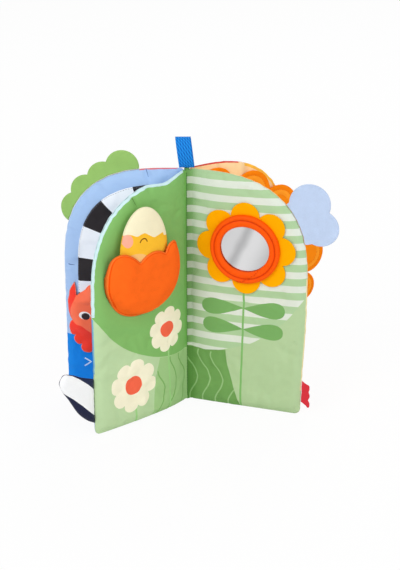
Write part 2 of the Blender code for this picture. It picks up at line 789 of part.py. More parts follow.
def add_big_flower(leaf, axis, side, petal_look, centre_look):
    """Round petals past the outer seam and a padded middle."""
    middles = [on_page(petal[:2]) for petal in BIG_PETAL_SHARES]
    radii = [BIG_PETAL_RADIUS * petal[2] for petal in BIG_PETAL_SHARES]
    kept = [circle(*petal, PETAL_SIDES) for petal in zip(middles, radii)]
    start = BIG_FLOWER_SPINE_START
    back = min(start, *(middle.x - FIT_GAP for middle in middles))
    body = [*middles, Vector((back, middles[-1].y)), Vector((back, middles[0].y))]
    spine_strip = [Vector((-start, -start)), Vector((start, -start))]
    spine_strip += [Vector((start, 2.0 * PAGE_HEIGHT)), Vector((-start, 2.0 * PAGE_HEIGHT))]
    shape = (BIG_FLOWER_CLOTH, [body, *kept], [spine_strip], 3.0 * LATTICE)
    add_sheet("big_flower_petals", leaf, axis, side, petal_look, *shape)
    level = LEAF_HALF + FIT_GAP + BIG_FLOWER_CLOTH + FIT_GAP
    outline = circle(on_page(BIG_CENTRE_SHARES), BIG_CENTRE_RADIUS)
    shape = (outline, level, BIG_CENTRE_PADDING, BIG_CENTRE_SHOULDER)
    add_padded_piece("big_flower_centre", leaf, axis, side, centre_look, *shape)


def add_label(leaf, axis, look):
    """The folded cloth label in the striped leaf's outer seam, left plain."""
    shape = bmesh.new()
    bmesh.ops.create_cube(shape, size=1.0)
    middle = Vector((PAGE_WIDTH + FIT_GAP + LABEL_LENGTH / 2.0, 0.0, LABEL_FOOT + LABEL_HEIGHT / 2.0))
    for vert in shape.verts:
        size = Vector((LABEL_LENGTH, LABEL_CLOTH, LABEL_HEIGHT))
        vert.co = vert.co * size + middle
    bend_mesh(shape, leaf)
    add_object("edge_label", store(shape, "edge_label"), look, axis)


def build_striped_leaf(red, filling, film):
    """The right-hand leaf of the middle spread, with the mirror flower."""
    leaf = STRIPED_LEAF
    axis = add_axis(leaf)
    striped = fabric("striped_cloth", (0.62, 0.78, 0.55))
    yellow = fabric("yellow_cloth", (0.98, 0.86, 0.60))
    add_panel("striped_page_panel", leaf, axis, -1.0, striped)
    add_panel("garden_page_panel", leaf, axis, 1.0, yellow)
    limit = LEAF_HALF - CLOTH - FILM - 3.0 * FIT_GAP
    add_wadding("striped_leaf_wadding", leaf, axis, filling, limit, -1.0)
    add_film("striped_leaf_crinkle_film", leaf, axis, -1.0, film)
    petals = fabric("golden_felt", (0.98, 0.62, 0.02))
    ring = fabric("orange_satin", (0.96, 0.30, 0.05), 0.45)
    mirror = fabric("mirror_film", (0.85, 0.85, 0.86), 0.12, 1.0)
    add_flower(leaf, axis, -1.0, petals, ring, mirror)
    cloud = fabric("blue_felt", (0.74, 0.82, 0.95), 0.95)
    add_seam_tab("cloud_tab", leaf, axis, cloud, CLOUD_LOBE_SHARES)
    add_label(leaf, axis, red)


def build_green_leaf(filling, film):
    """The left-hand leaf of the middle spread, with the tulip and the egg."""
    leaf = GREEN_LEAF
    axis = add_axis(leaf)
    green = fabric("green_cloth", (0.46, 0.70, 0.36))
    sea = fabric("sea_cloth", (0.72, 0.88, 0.96))
    add_panel("green_page_panel", leaf, axis, 1.0, green)
    add_panel("sea_page_panel", leaf, axis, -1.0, sea)
    limit = LEAF_HALF - CLOTH - FILM - 3.0 * FIT_GAP
    add_wadding("green_leaf_wadding", leaf, axis, filling, limit, 1.0)
    add_film("green_leaf_crinkle_film", leaf, axis, 1.0, film)
    add_tulip(leaf, axis, 1.0, fabric("tulip_cloth", (0.99, 0.34, 0.05), 0.7))
    cream = fabric("cream_cloth", (0.97, 0.93, 0.78))
    yolk = fabric("yolk_cloth", (0.99, 0.78, 0.24))
    add_egg(leaf, axis, 1.0, cream, yolk, filling)
    navy = fabric("navy_cloth", (0.14, 0.17, 0.34), 0.6)
    white = fabric("white_cloth", (0.96, 0.97, 0.97), 0.6)
    add_tail(leaf, axis, white, navy, filling)


def build_left_cover(red, filling):
    """The left cover, seen from its sea page."""
    leaf = LEFT_COVER
    axis = add_axis(leaf)
    sky = fabric("sky_cloth", (0.66, 0.79, 0.95))
    add_panel("left_cover_inner_panel", leaf, axis, 1.0, sky)
    add_panel("left_cover_outer_panel", leaf, axis, -1.0, red)
    add_wadding("left_cover_wadding", leaf, axis, filling)
    band = fabric("band_satin", (0.90, 0.90, 0.92), 0.4)
    fish = fabric("fish_satin", (0.93, 0.26, 0.22), 0.5)
    add_left_cover_pieces(leaf, axis, 1.0, band, fish)
    bush = fabric("green_felt", (0.60, 0.76, 0.42), 0.95)
    add_seam_tab("bush_tab", leaf, axis, bush, BUSH_LOBE_SHARES)


def build_right_cover(red, filling):
    """The right cover, seen from its peach page."""
    leaf = RIGHT_COVER
    axis = add_axis(leaf)
    peach = fabric("peach_cloth", (1.0, 0.84, 0.62))
    add_panel("right_cover_inner_panel", leaf, axis, -1.0, peach)
    add_panel("right_cover_outer_panel", leaf, axis, 1.0, red)
    add_wadding("right_cover_wadding", leaf, axis, filling)
    petals = fabric("petal_felt", (0.98, 0.55, 0.08))
    middle = fabric("flower_middle_cloth", (0.99, 0.80, 0.28))
    add_big_flower(leaf, axis, -1.0, petals, middle)


def build_book():
    """Model every piece of the book."""
    red = fabric("red_cloth", (0.80, 0.10, 0.13), 0.75)
    filling = fabric("wadding", (0.93, 0.93, 0.90), 1.0)
    film = fabric("crinkle_film", (0.85, 0.87, 0.88), 0.3)
    add_spine(red)
    add_ribbon_loop(fabric("blue_webbing", (0.02, 0.45, 0.87), 0.6))
    build_striped_leaf(red, filling, film)
    build_green_leaf(filling, film)
    build_left_cover(red, filling)
    build_right_cover(red, filling)


build_book()
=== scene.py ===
# %% [markdown]
# A baby's cloth book, standing with its padded leaves fanned out.
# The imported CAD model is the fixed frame. Every soft piece is made again here
# with its real shape, its prints, its stitches and its cloth, and it rides on
# the same body as the CAD piece that it stands for.

# %% Load the frame
import math
from collections import namedtuple

import bmesh
import bpy
import numpy as np
from mathutils import Matrix, Vector, kdtree
from mathutils.bvhtree import BVHTree
from mathutils.geometry import delaunay_2d_cdt


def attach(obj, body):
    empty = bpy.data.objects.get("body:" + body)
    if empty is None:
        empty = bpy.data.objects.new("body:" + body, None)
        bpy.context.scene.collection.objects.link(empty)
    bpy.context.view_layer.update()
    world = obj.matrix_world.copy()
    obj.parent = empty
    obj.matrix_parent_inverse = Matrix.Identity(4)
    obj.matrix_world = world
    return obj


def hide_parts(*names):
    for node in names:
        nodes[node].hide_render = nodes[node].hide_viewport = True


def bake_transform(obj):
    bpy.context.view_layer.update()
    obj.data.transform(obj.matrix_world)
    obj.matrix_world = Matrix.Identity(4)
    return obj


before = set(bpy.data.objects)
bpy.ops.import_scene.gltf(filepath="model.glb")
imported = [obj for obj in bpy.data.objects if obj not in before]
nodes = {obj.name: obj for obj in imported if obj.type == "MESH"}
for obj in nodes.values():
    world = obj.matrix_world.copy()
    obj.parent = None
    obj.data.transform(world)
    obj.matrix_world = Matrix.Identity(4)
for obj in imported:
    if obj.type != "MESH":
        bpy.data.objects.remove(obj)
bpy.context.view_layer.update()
print("pieces in the frame:", len(nodes))

# %% [markdown]
# The camera stands where the photographer's stood: in front of the spine, about
# 22 degrees up, with a long lens. The distance and the lens were fitted to the
# outlines of the four leaves.

# %% Camera
FOCAL_PX = 1524.8
PICTURE = (400, 570)
SENSOR_MM = 36.0
RISE = 0.3838
DISTANCE = 1.2328
AIM = Vector((0.0, 0.0, 0.1))
AIM_PX = (186.26, 285.85)


def placed(name, data):
    """A new object in the scene, at the origin."""
    thing = bpy.data.objects.new(name, data)
    bpy.context.scene.collection.objects.link(thing)
    return thing


camera_data = bpy.data.cameras.new("camera")
camera_data.sensor_width = SENSOR_MM
camera_data.sensor_fit = "AUTO"
camera_data.lens = FOCAL_PX / PICTURE[1] * SENSOR_MM
camera_data.clip_end = 10.0
camera = placed("camera", camera_data)

forward = Vector((0.0, math.cos(RISE), -math.sin(RISE)))
camera.location = AIM - forward * DISTANCE
yaw = math.atan((AIM_PX[0] - PICTURE[0] / 2) / FOCAL_PX)
pitch = math.atan((AIM_PX[1] - PICTURE[1] / 2) / FOCAL_PX)
forward = Matrix.Rotation(yaw, 3, "Z") @ forward
side = forward.cross(Vector((0.0, 0.0, 1.0))).normalized()
forward = Matrix.Rotation(pitch, 3, side) @ forward
camera.rotation_euler = forward.to_track_quat("-Z", "Y").to_euler()
bpy.context.scene.camera = camera
print("lens", round(camera_data.lens, 1), "mm")

# %% [markdown]
# Every finish below is a tree of shader nodes. Three short helpers put in a
# node, feed its inputs with plain values or with other nodes' sockets, and do
# one step of arithmetic, so that each tree reads as what it draws.

# %% Helpers for shader trees
def feed(tree, node, inputs):
    """Set a node's inputs to plain values, or link them to other sockets."""
    for label, value in inputs.items():
        if isinstance(value, bpy.types.NodeSocket):
            tree.links.new(value, node.inputs[label])
        else:
            node.inputs[label].default_value = value
    return node


def new_node(tree, kind, inputs=None, **settings):
    node = tree.nodes.new(kind)
    for name, value in settings.items():
        setattr(node, name, value)
    return feed(tree, node, inputs or {})


def maths(tree, operation, *values):
    """One Math node, whose inputs are sockets or plain numbers."""
    return new_node(tree, "ShaderNodeMath", dict(enumerate(values)), operation=operation).outputs[0]


# %% [markdown]
# The studio is a pale floor, a white surround and three large soft lamps. What
# the camera sees of the floor is mostly its own white, so the background stays
# white without more light on the book, and the book's soft shadow still shows.

# %% Floor, surround and lamps
FLOOR_HALF = 4.0
FLOOR_GREY = 0.90
FLOOR_OWN_WHITE = 0.93
SURROUND_LIGHT = 0.59
WHITE_LIGHT = (1.0, 1.0, 1.0, 1.0)
LAMPS = (
    ("lamp_left", (-0.95, -1.25, 1.25), 1.1, 14.2),
    ("lamp_right", (1.15, -1.05, 0.85), 1.0, 6.2),
    ("lamp_back", (0.25, 1.20, 1.30), 1.1, 7.6),
)


def seen_directly(tree):
    """1 for camera, mirror and glass rays, and 0 for the light on the cloth."""
    path = tree.nodes.new("ShaderNodeLightPath").outputs
    seen = maths(tree, "MAXIMUM", path["Is Camera Ray"], path["Is Glossy Ray"])
    return maths(tree, "MAXIMUM", seen, path["Is Transmission Ray"])


def two_shaders(tree, share, first, second, output):
    """Mix two shaders by a share, into the tree's output."""
    mixed = new_node(tree, "ShaderNodeMixShader", {0: share, 1: first.outputs[0], 2: second.outputs[0]})
    new_node(tree, output, {"Surface": mixed.outputs[0]})


def reshaped(mesh, change):
    """Change a mesh with Blender's mesh tools."""
    shape = bmesh.new()
    shape.from_mesh(mesh)
    change(shape)
    shape.to_mesh(mesh)
    shape.free()
    return mesh


floor_mesh = reshaped(bpy.data.meshes.new("floor"), lambda shape: bmesh.ops.create_grid(
    shape, x_segments=1, y_segments=1, size=FLOOR_HALF))
floor = placed("floor", floor_mesh)
floor_paint = bpy.data.materials.new("floor_paint")
floor_paint.use_nodes = True
tree = floor_paint.node_tree
tree.nodes.clear()
two_shaders(
    tree, maths(tree, "MULTIPLY", seen_directly(tree), FLOOR_OWN_WHITE),
    new_node(tree, "ShaderNodeBsdfDiffuse", {"Color": (FLOOR_GREY, FLOOR_GREY, FLOOR_GREY, 1.0)}),
    new_node(tree, "ShaderNodeEmission"), "ShaderNodeOutputMaterial",
)
floor_mesh.materials.append(floor_paint)

world = bpy.data.worlds.new("studio")
world.use_nodes = True
bpy.context.scene.world = world
tree = world.node_tree
tree.nodes.clear()
two_shaders(
    tree, seen_directly(tree),
    new_node(tree, "ShaderNodeBackground", {"Color": WHITE_LIGHT, "Strength": SURROUND_LIGHT}),
    new_node(tree, "ShaderNodeBackground", {"Color": WHITE_LIGHT}), "ShaderNodeOutputWorld",
)

for name, place, size, watts in LAMPS:
    data = bpy.data.lights.new(name, "AREA")
    data.shape = "DISK"
    data.size = size
    data.energy = watts
    lamp = placed(name, data)
    lamp.location = place
    lamp.rotation_euler = (AIM - Vector(place)).to_track_quat("-Z", "Y").to_euler()
bpy.context.scene.view_settings.view_transform = "Standard"
print("lamps:", len(LAMPS))

# %% [markdown]
# Every leaf is drawn flat first: u runs from the spine to the outer seam, v
# runs up, and w is the height over the middle of the padding. The same few
# formulas that shaped the CAD solids say how far the cloth stands out there,
# so what is made here lies where the solid lies.

# %% Measures of a leaf
PAGE_WIDTH = 0.100
PAGE_HEIGHT = 0.200
ARC_WIDTH = 0.092
ARC_HEIGHT = 0.090
ARC_POWER = 2.75
OUTER_CORNER = 0.005
SPINE_CORNER = 0.003
LEAF_HALF = 0.0042
EDGE_HALF = 0.00055
SHOULDER = 0.015
TAPER = 0.028
TAPER_POWER = 1.5
BEND_LENGTH = 0.030
SPINE_RADIUS = 0.0021
GAP = 0.0003
CLOTH = 0.00035
PAGE_START = SPINE_RADIUS + GAP
FOOT_NARROWING = 0.033
FOOT_REACH = 0.095
DIP_PLACE = 0.027
DIP_WIDTH = 0.014
DIP_DEPTH = 0.0050
DIP_FOOT = 0.165
WOBBLE = 0.00017
WOBBLE_REACH = 0.008
WOBBLE_PITCHES = (0.0137, 0.0079, 0.061)
BEND_STEP = 0.0002

Leaf = namedtuple("Leaf", "body direction bend seed")
Held = namedtuple("Held", "u v reach")
STRIPED = Leaf("striped_leaf", -19.1, 0.0, 11)
GREEN = Leaf("green_leaf", 216.8, 19.8, 12)
LEFT = Leaf("left_cover", 169.4, 14.9, 13)
RIGHT = Leaf("right_cover", 34.7, 0.0, 14)


def share_of(amount, whole=1.0):
    """How much of a whole an amount is, kept between 0 and 1."""
    return np.clip(np.asarray(amount, float) / whole, 0.0, 1.0)


def eased(share):
    """A soft step from 0 to 1."""
    share = share_of(share)
    return share * share * (3.0 - 2.0 * share)


def shoulder(depth, reach):
    """Share of the padding's height at a depth in from a seam."""
    return np.sqrt(1.0 - (1.0 - share_of(depth, reach)) ** 2)


def corner_rise(depth, radius):
    """How far a rounded corner takes the edge back."""
    short = np.clip(radius - np.asarray(depth, float), 0.0, radius)
    return radius - np.sqrt(radius**2 - short**2)


def top_edge(u, inset=0.0):
    """Height of the page's head, which falls in an arc to the outer seam."""
    across = np.maximum(u - (PAGE_WIDTH - ARC_WIDTH), 0.0) / (ARC_WIDTH - inset)
    drop = (1.0 - np.minimum(across, 1.0) ** ARC_POWER) ** (1.0 / ARC_POWER)
    height = PAGE_HEIGHT - ARC_HEIGHT + (ARC_HEIGHT - inset) * drop
    return height - corner_rise(u - PAGE_START - inset, SPINE_CORNER)


def bottom_edge(u, inset=0.0):
    """Height of the page's foot, with its two rounded corners."""
    rise = corner_rise(u - PAGE_START - inset, SPINE_CORNER)
    return inset + np.maximum(rise, corner_rise(PAGE_WIDTH - inset - u, OUTER_CORNER))


def spine_taper(u):
    """Half thickness of a leaf that grows from the thin seam at the spine."""
    thin = (1.0 - share_of(np.asarray(u, float) - PAGE_START, TAPER)) ** TAPER_POWER
    return EDGE_HALF + (LEAF_HALF - EDGE_HALF) * (1.0 - thin)


def leaf_half(u, v):
    """Half thickness of a stuffed leaf over points of the page."""
    across = np.maximum(u - PAGE_WIDTH + ARC_WIDTH, 0.0) / ARC_WIDTH
    upward = np.maximum(v - PAGE_HEIGHT + ARC_HEIGHT, 0.0) / ARC_HEIGHT
    reach = (across**ARC_POWER + upward**ARC_POWER) ** (1.0 / ARC_POWER)
    swell = shoulder((1.0 - reach) * ARC_HEIGHT, SHOULDER)
    swell = swell * shoulder(v - bottom_edge(u), SHOULDER)
    return EDGE_HALF + (spine_taper(u) - EDGE_HALF) * swell


def sagged(leaf, u, v):
    """How a real leaf has settled: a narrower foot, a dipped head, a wavy seam."""
    if leaf.body == "striped_leaf":
        u = u * (1.0 - FOOT_NARROWING * eased((FOOT_REACH - v) / FOOT_REACH))
    if leaf.body == "green_leaf":
        near_head = eased((v - DIP_FOOT) / (PAGE_HEIGHT - DIP_FOOT))
        dip = np.exp(-((u - DIP_PLACE) / DIP_WIDTH) ** 2) * near_head
        v = v - DIP_DEPTH * dip
    depth, along = distance_to(np.column_stack([u, v]), SEAM_LINE)
    free = eased((u - 0.020) / 0.030) * eased((v - 0.006) / 0.020) * np.exp(-(depth / WOBBLE_REACH) ** 2)
    first, second, slow = (np.sin(along * math.tau / pitch + k * leaf.seed)
                           for k, pitch in enumerate(WOBBLE_PITCHES, 1))
    swing = (first + 0.8 * second) * (0.55 + 0.45 * slow)
    ahead = np.gradient(SEAM_LINE, axis=0)
    run = np.linalg.norm(np.diff(SEAM_LINE, axis=0), axis=1)
    stops = np.concatenate([[0.0], np.cumsum(run)])
    ahead /= np.linalg.norm(ahead, axis=1)[:, None]
    out_u, out_v = np.interp(along, stops, ahead[:, 1]), np.interp(along, stops, -ahead[:, 0])
    return u + WOBBLE * free * swing * out_u, v + WOBBLE * free * swing * out_v


def to_world(leaf, u, w, v):
    """Places in the room of points that are drawn on a flat leaf."""
    u, w, v = (np.asarray(x, float) for x in (u, w, v))
    u, v = sagged(leaf, u, v)
    steps = np.arange(-0.03, 0.16, BEND_STEP)
    turn = math.radians(leaf.bend)
    angles = turn * np.exp(-steps / BEND_LENGTH)
    middle = (angles[1:] + angles[:-1]) / 2.0
    across = np.concatenate([[0.0], np.cumsum(np.cos(middle) * BEND_STEP)])
    aside = np.concatenate([[0.0], np.cumsum(np.sin(middle) * BEND_STEP)])
    across -= np.interp(0.0, steps, across)
    aside -= np.interp(0.0, steps, aside)
    angle = turn * np.exp(-u / BEND_LENGTH)
    x = np.interp(u, steps, across) - w * np.sin(angle)
    y = np.interp(u, steps, aside) + w * np.cos(angle)
    way = math.radians(leaf.direction)
    ahead, left = math.cos(way), math.sin(way)
    return np.column_stack([x * ahead - y * left, x * left + y * ahead, v])


print("half thickness in the middle of a page:", float(leaf_half(np.array([0.06]), np.array([0.1]))[0]))

# %% [markdown]
# Prints, felt shapes and seams are all closed lines on the flat page. A few
# helpers draw them with points about 2 mm apart, close enough for a round edge.

# %% Lines on the page
STEP = 0.0018


def spaced(points, step=STEP, closed=True):
    """The same line with its corners kept and no two points far apart."""
    points = [np.asarray(p, float) for p in points]
    ends = points[1:] + points[:1] if closed else points[1:]
    result = []
    for a, b in zip(points, ends):
        count = max(1, int(math.ceil(np.linalg.norm(b - a) / step)))
        result += [a + (b - a) * k / count for k in range(count)]
    if not closed:
        result.append(points[-1])
    return np.array(result)


def curved(points, closed=True, corners=(), parts=8):
    """A smooth line through the points, with corners at the named ones."""
    points = [np.asarray(p, float) for p in points]
    count = len(points)
    result = []
    for k in range(count if closed else count - 1):
        here, there = points[k], points[(k + 1) % count]
        before = points[k - 1] if closed or k else here
        last = points[(k + 2) % count] if closed or k + 2 < count else there
        leave = there - here if k in corners else (there - before) / 2.0
        arrive = there - here if (k + 1) % count in corners else (last - here) / 2.0
        for part in range(parts):
            t = part / parts
            result.append(
                here * (2 * t**3 - 3 * t**2 + 1) + leave * (t**3 - 2 * t**2 + t)
                + there * (3 * t**2 - 2 * t**3) + arrive * (t**3 - t**2)
            )
    if not closed:
        result.append(points[-1])
    return np.array(result)


def disc(u, v, radius, rise=None, turn=0.0, sides=None):
    """A round or oval outline."""
    sides = sides or max(16, int(math.tau * radius / STEP))
    t = np.arange(sides) * math.tau / sides
    a, b = radius * np.cos(t), (rise or radius) * np.sin(t)
    c, s = math.cos(turn), math.sin(turn)
    return np.column_stack([u + a * c - b * s, v + a * s + b * c])


def band(line, width):
    """The outline of a stroke of even or changing width along a line."""
    line = np.asarray(line, float)
    run = np.gradient(line, axis=0)
    run /= np.linalg.norm(run, axis=1)[:, None]
    across = np.column_stack([-run[:, 1], run[:, 0]]) * (np.asarray(width) / 2.0).reshape(-1, 1)
    return np.vstack([line + across, (line - across)[::-1]])


def page_outline(inset=0.0, start=PAGE_START):
    """The seam line of a page, moved in by inset, anticlockwise."""
    angles = [4, 8, 12, 17, 22, 28, 34, 40, 46, 52, 58, 63, 68, 72, 76, 80, 84, 87, 90]
    bow = np.sin(np.radians(np.array(angles))) ** (2.0 / ARC_POWER)
    bow = PAGE_WIDTH - ARC_WIDTH + (ARC_WIDTH - inset) * bow
    first = start + inset * (start == PAGE_START)
    near = first + np.array([0.0, 0.04, 0.15, 0.4, 1.0]) * SPINE_CORNER
    bow = bow[bow > near[-1] + STEP]
    foot_end = PAGE_WIDTH - inset - np.array([1.0, 0.6, 0.3, 0.1, 0.0]) * OUTER_CORNER
    low = np.concatenate([near, foot_end])
    high = np.concatenate([near, bow])
    lower = np.column_stack([low, bottom_edge(low, inset)])
    upper = np.column_stack([high, top_edge(high, inset)])
    return spaced(np.vstack([lower, upper[::-1]]))


SEAM_LINE = page_outline()
print("points on a page's seam:", len(SEAM_LINE))

# %% [markdown]
# Much of the shape depends on where a point lies: how far from a seam, how far
# along it, and whether inside a line. NumPy answers that for all points at once.

# %% Points and closed lines
def signed_area(outline):
    """Area inside a closed line, above zero where it runs anticlockwise."""
    x, y = outline[:, 0], outline[:, 1]
    return float(np.sum(x * np.roll(y, -1) - np.roll(x, -1) * y)) / 2.0


def anticlockwise(outline):
    """The same closed line, run round anticlockwise."""
    return outline if signed_area(outline) > 0.0 else outline[::-1]


def distance_to(points, outline):
    """Distance from each point to a closed line, and how far along it."""
    a, b = outline, np.roll(outline, -1, axis=0)
    run = b - a
    length = np.linalg.norm(run, axis=1)
    before = np.concatenate([[0.0], np.cumsum(length)[:-1]])
    best = np.full(len(points), 9.0)
    along = np.zeros(len(points))
    for k in range(len(a)):
        rel = points - a[k]
        t = np.clip(rel @ run[k] / max(length[k] ** 2, 1e-14), 0.0, 1.0)
        away = np.linalg.norm(rel - t[:, None] * run[k], axis=1)
        closer = away < best
        best[closer] = away[closer]
        along[closer] = before[k] + t[closer] * length[k]
    return best, along


def inside(points, outline):
    """Which points lie inside a closed line."""
    x, y = points[:, 0], points[:, 1]
    result = np.zeros(len(points), bool)
    for (ax, ay), (bx, by) in zip(outline, np.roll(outline, -1, axis=0)):
        if ay == by:
            continue
        crosses = (ay > y) != (by > y)
        result ^= crosses & (x < (bx - ax) * (y - ay) / (by - ay) + ax)
    return result


def moved_in(outline, depth):
    """A closed line shifted towards its inside."""
    line = anticlockwise(outline)
    run = np.roll(line, -1, axis=0) - np.roll(line, 1, axis=0)
    run /= np.maximum(np.linalg.norm(run, axis=1), 1e-9)[:, None]
    moved = line + np.column_stack([-run[:, 1], run[:, 0]]) * depth
    away, _ = distance_to(moved, line)
    return moved[away > depth * 0.93]


print("area of a page:", round(signed_area(SEAM_LINE) * 1e4, 1), "square centimetres")

# %% [markdown]
# Cloth is never one flat colour. Two shader groups are shared by the finishes:
# one draws the threads of a plain weave from the piece's UV map, and one gives
# the soft cloudy fibres of felt and plush. Each puts out a tint for the colour
# and a height for a Bump node.

# %% Shader groups for weave and fibres
def linear(colour):
    """A colour written as 0 to 255 screen values, for a shader."""
    return tuple(((c / 255.0 + 0.055) / 1.055) ** 2.4 if c > 10 else c / 255.0 / 12.92 for c in colour)


def new_group(name, inputs, outputs=("Tint", "Height")):
    """An empty shader group with named inputs and outputs."""
    group = bpy.data.node_groups.new(name, "ShaderNodeTree")
    for kind, label, value in inputs:
        socket = group.interface.new_socket(label, in_out="INPUT", socket_type=kind)
        socket.default_value = value
    for label in outputs:
        group.interface.new_socket(label, in_out="OUTPUT", socket_type="NodeSocketFloat")
    return group, group.nodes.new("NodeGroupInput").outputs, group.nodes.new("NodeGroupOutput")


def blended(tree, share, first, second, mode="MIX"):
    """A colour mixed from two colours or sockets."""
    first, second = ((*c, 1.0) if isinstance(c, tuple) else c for c in (first, second))
    inputs = {0: share, 6: first, 7: second}
    return new_node(tree, "ShaderNodeMix", inputs, data_type="RGBA", blend_type=mode).outputs[2]


def noise(tree, place, **inputs):
    """A cloudy texture over the piece, as a share."""
    return new_node(tree, "ShaderNodeTexNoise", {"Vector": place, **inputs}).outputs["Fac"]


def summed(tree, first, much, second, more):
    """Two sockets added, each in its own strength."""
    return maths(tree, "ADD", maths(tree, "MULTIPLY", first, much), maths(tree, "MULTIPLY", second, more))


def weave_group():
    """Threads over and under each other, from a UV map in metres."""
    group, given, made = new_group("plain_weave", (
        ("NodeSocketVector", "Place", (0, 0, 0)), ("NodeSocketFloat", "Threads per metre", 2600.0),
        ("NodeSocketFloat", "Unevenness", 0.5)))
    place = given["Place"]
    parts = new_node(group, "ShaderNodeSeparateXYZ", {0: place}).outputs
    turns = maths(group, "MULTIPLY", given["Threads per metre"], math.pi)
    waves = [maths(group, "SINE", maths(group, "MULTIPLY", parts[axis], turns)) for axis in (0, 1)]
    crossing = maths(group, "MULTIPLY", *waves)
    cloud = noise(group, place, Scale=240.0, Detail=4.0)
    drift = summed(group, cloud, 0.5, noise(group, place, Scale=28.0, Detail=2.0), 0.5)
    drift = maths(group, "MULTIPLY", maths(group, "SUBTRACT", drift, 0.5), given["Unevenness"])
    tint = maths(group, "ADD", maths(group, "MULTIPLY", crossing, 0.035), drift)
    feed(group, made, {"Tint": maths(group, "ADD", tint, 1.0),
                       "Height": summed(group, crossing, 0.5, cloud, 0.6)})
    return group


def fibre_group():
    """Short tangled fibres, from a place in metres."""
    group, given, made = new_group("tangled_fibres", (
        ("NodeSocketVector", "Place", (0, 0, 0)), ("NodeSocketFloat", "Fineness", 900.0),
        ("NodeSocketFloat", "Cloudiness", 0.3)))
    place = given["Place"]
    fine = noise(group, place, Scale=given["Fineness"], Detail=6.0, Roughness=0.75, Distortion=1.2)
    both = summed(group, fine, 0.6, noise(group, place, Scale=120.0, Detail=2.0), 0.4)
    tint = maths(group, "MULTIPLY", maths(group, "SUBTRACT", both, 0.5), given["Cloudiness"])
    feed(group, made, {"Tint": maths(group, "ADD", tint, 1.0), "Height": fine})
    return group


WEAVE = weave_group()
FIBRES = fibre_group()
print("shader groups:", WEAVE.name, FIBRES.name)

# %% [markdown]
# The finishes themselves are Principled materials. Each places one of the two
# groups with its own values, and takes its colour from one number or, for a
# printed cloth, from the colours that are stored in the mesh.

# %% A finish
def new_look(name, **inputs):
    """A Principled material with plain values, its tree and its shader."""
    made = bpy.data.materials.new(name)
    made.use_nodes = True
    shader = made.node_tree.nodes["Principled BSDF"]
    feed(made.node_tree, shader, {label.replace("_", " "): value for label, value in inputs.items()})
    return made, made.node_tree, shader


def bumped(tree, shader, height, strength, distance):
    lift = new_node(tree, "ShaderNodeBump", {"Height": height, "Strength": strength, "Distance": distance})
    feed(tree, shader, {"Normal": lift.outputs["Normal"]})


def finish_of(name, colour, effect, place="uv", values=(), roughness=0.8, bump=0.25,
              depth=0.0003, sheen=0.0, shine=0.12):
    """A Principled material that a shared group tints and roughens, printed where colour is None."""
    made, tree, shader = new_look(name, Roughness=roughness, Specular_IOR_Level=shine, Sheen_Weight=sheen,
                                  Sheen_Roughness=0.5)
    where = tree.nodes.new("ShaderNodeTexCoord").outputs["Object" if place == "object" else "UV"]
    group = new_node(tree, "ShaderNodeGroup", node_tree=effect)
    group = feed(tree, group, {"Place": where, **dict(values)}).outputs
    if colour is None:
        base = new_node(tree, "ShaderNodeVertexColor", layer_name="print").outputs["Color"]
    else:
        base = linear(colour)
    tint = new_node(tree, "ShaderNodeCombineXYZ", {axis: group["Tint"] for axis in range(3)}).outputs[0]
    feed(tree, shader, {"Base Color": blended(tree, 1.0, base, tint, "MULTIPLY")})
    bumped(tree, shader, group["Height"], bump, depth)
    return made


def felt_finish(name, colour, cloudiness, fineness, roughness, bump, depth, shine=0.05):
    values = (("Cloudiness", cloudiness), ("Fineness", fineness))
    return finish_of(name, colour, FIBRES, "uv", values, roughness, bump, depth, shine=shine)


def woven_finish(name, colour, threads, unevenness, roughness, bump, sheen=0.0, shine=0.12):
    values = (("Threads per metre", threads), ("Unevenness", unevenness))
    return finish_of(name, colour, WEAVE, "uv", values, roughness, bump, 0.0002, sheen, shine)


COTTON_THREADS, SATIN_THREADS = 2600.0, 3200.0
PRINTED = woven_finish("printed_cotton", None, COTTON_THREADS, 0.10, 0.72, 0.35, 0.02, 0.2)
print("first finish:", PRINTED.name)

# %% [markdown]
# A page is one piece of printed cotton. Its outline and the lines of its print
# are cut into one flat net of triangles, so each colour ends exactly on its
# line, and the net is then lifted to the height of the stuffed leaf. Colours
# are kept in a face attribute, which one cloth material reads for all pages.

# %% Cutting a printed sheet
Print = namedtuple("Print", "outline colour")
RIM_STEPS = (0.00025, 0.0008, 0.0017, 0.003)
CLEARANCE = 0.00022


def cut_along(lines, extra=()):
    """Triangles of the plane cut along closed lines, each with the numbers of the lines round it."""
    rounds, start = [], 0
    for line in lines:
        rounds.append(list(range(start, start + len(line))))
        start += len(line)
    corners = [Vector(p) for p in np.vstack(lines)] + [Vector(p) for p in extra]
    made = delaunay_2d_cdt(corners, [], rounds, 0, 1e-7)
    return made[0], list(zip(made[2], made[5]))


def rim_points(outline):
    """Rows of points just inside a seam, where the cloth turns over."""
    run = np.roll(outline, -1, axis=0) - np.roll(outline, 1, axis=0)
    run /= np.linalg.norm(run, axis=1)[:, None]
    inward = np.column_stack([-run[:, 1], run[:, 0]])
    return [outline + inward * depth for depth in RIM_STEPS]


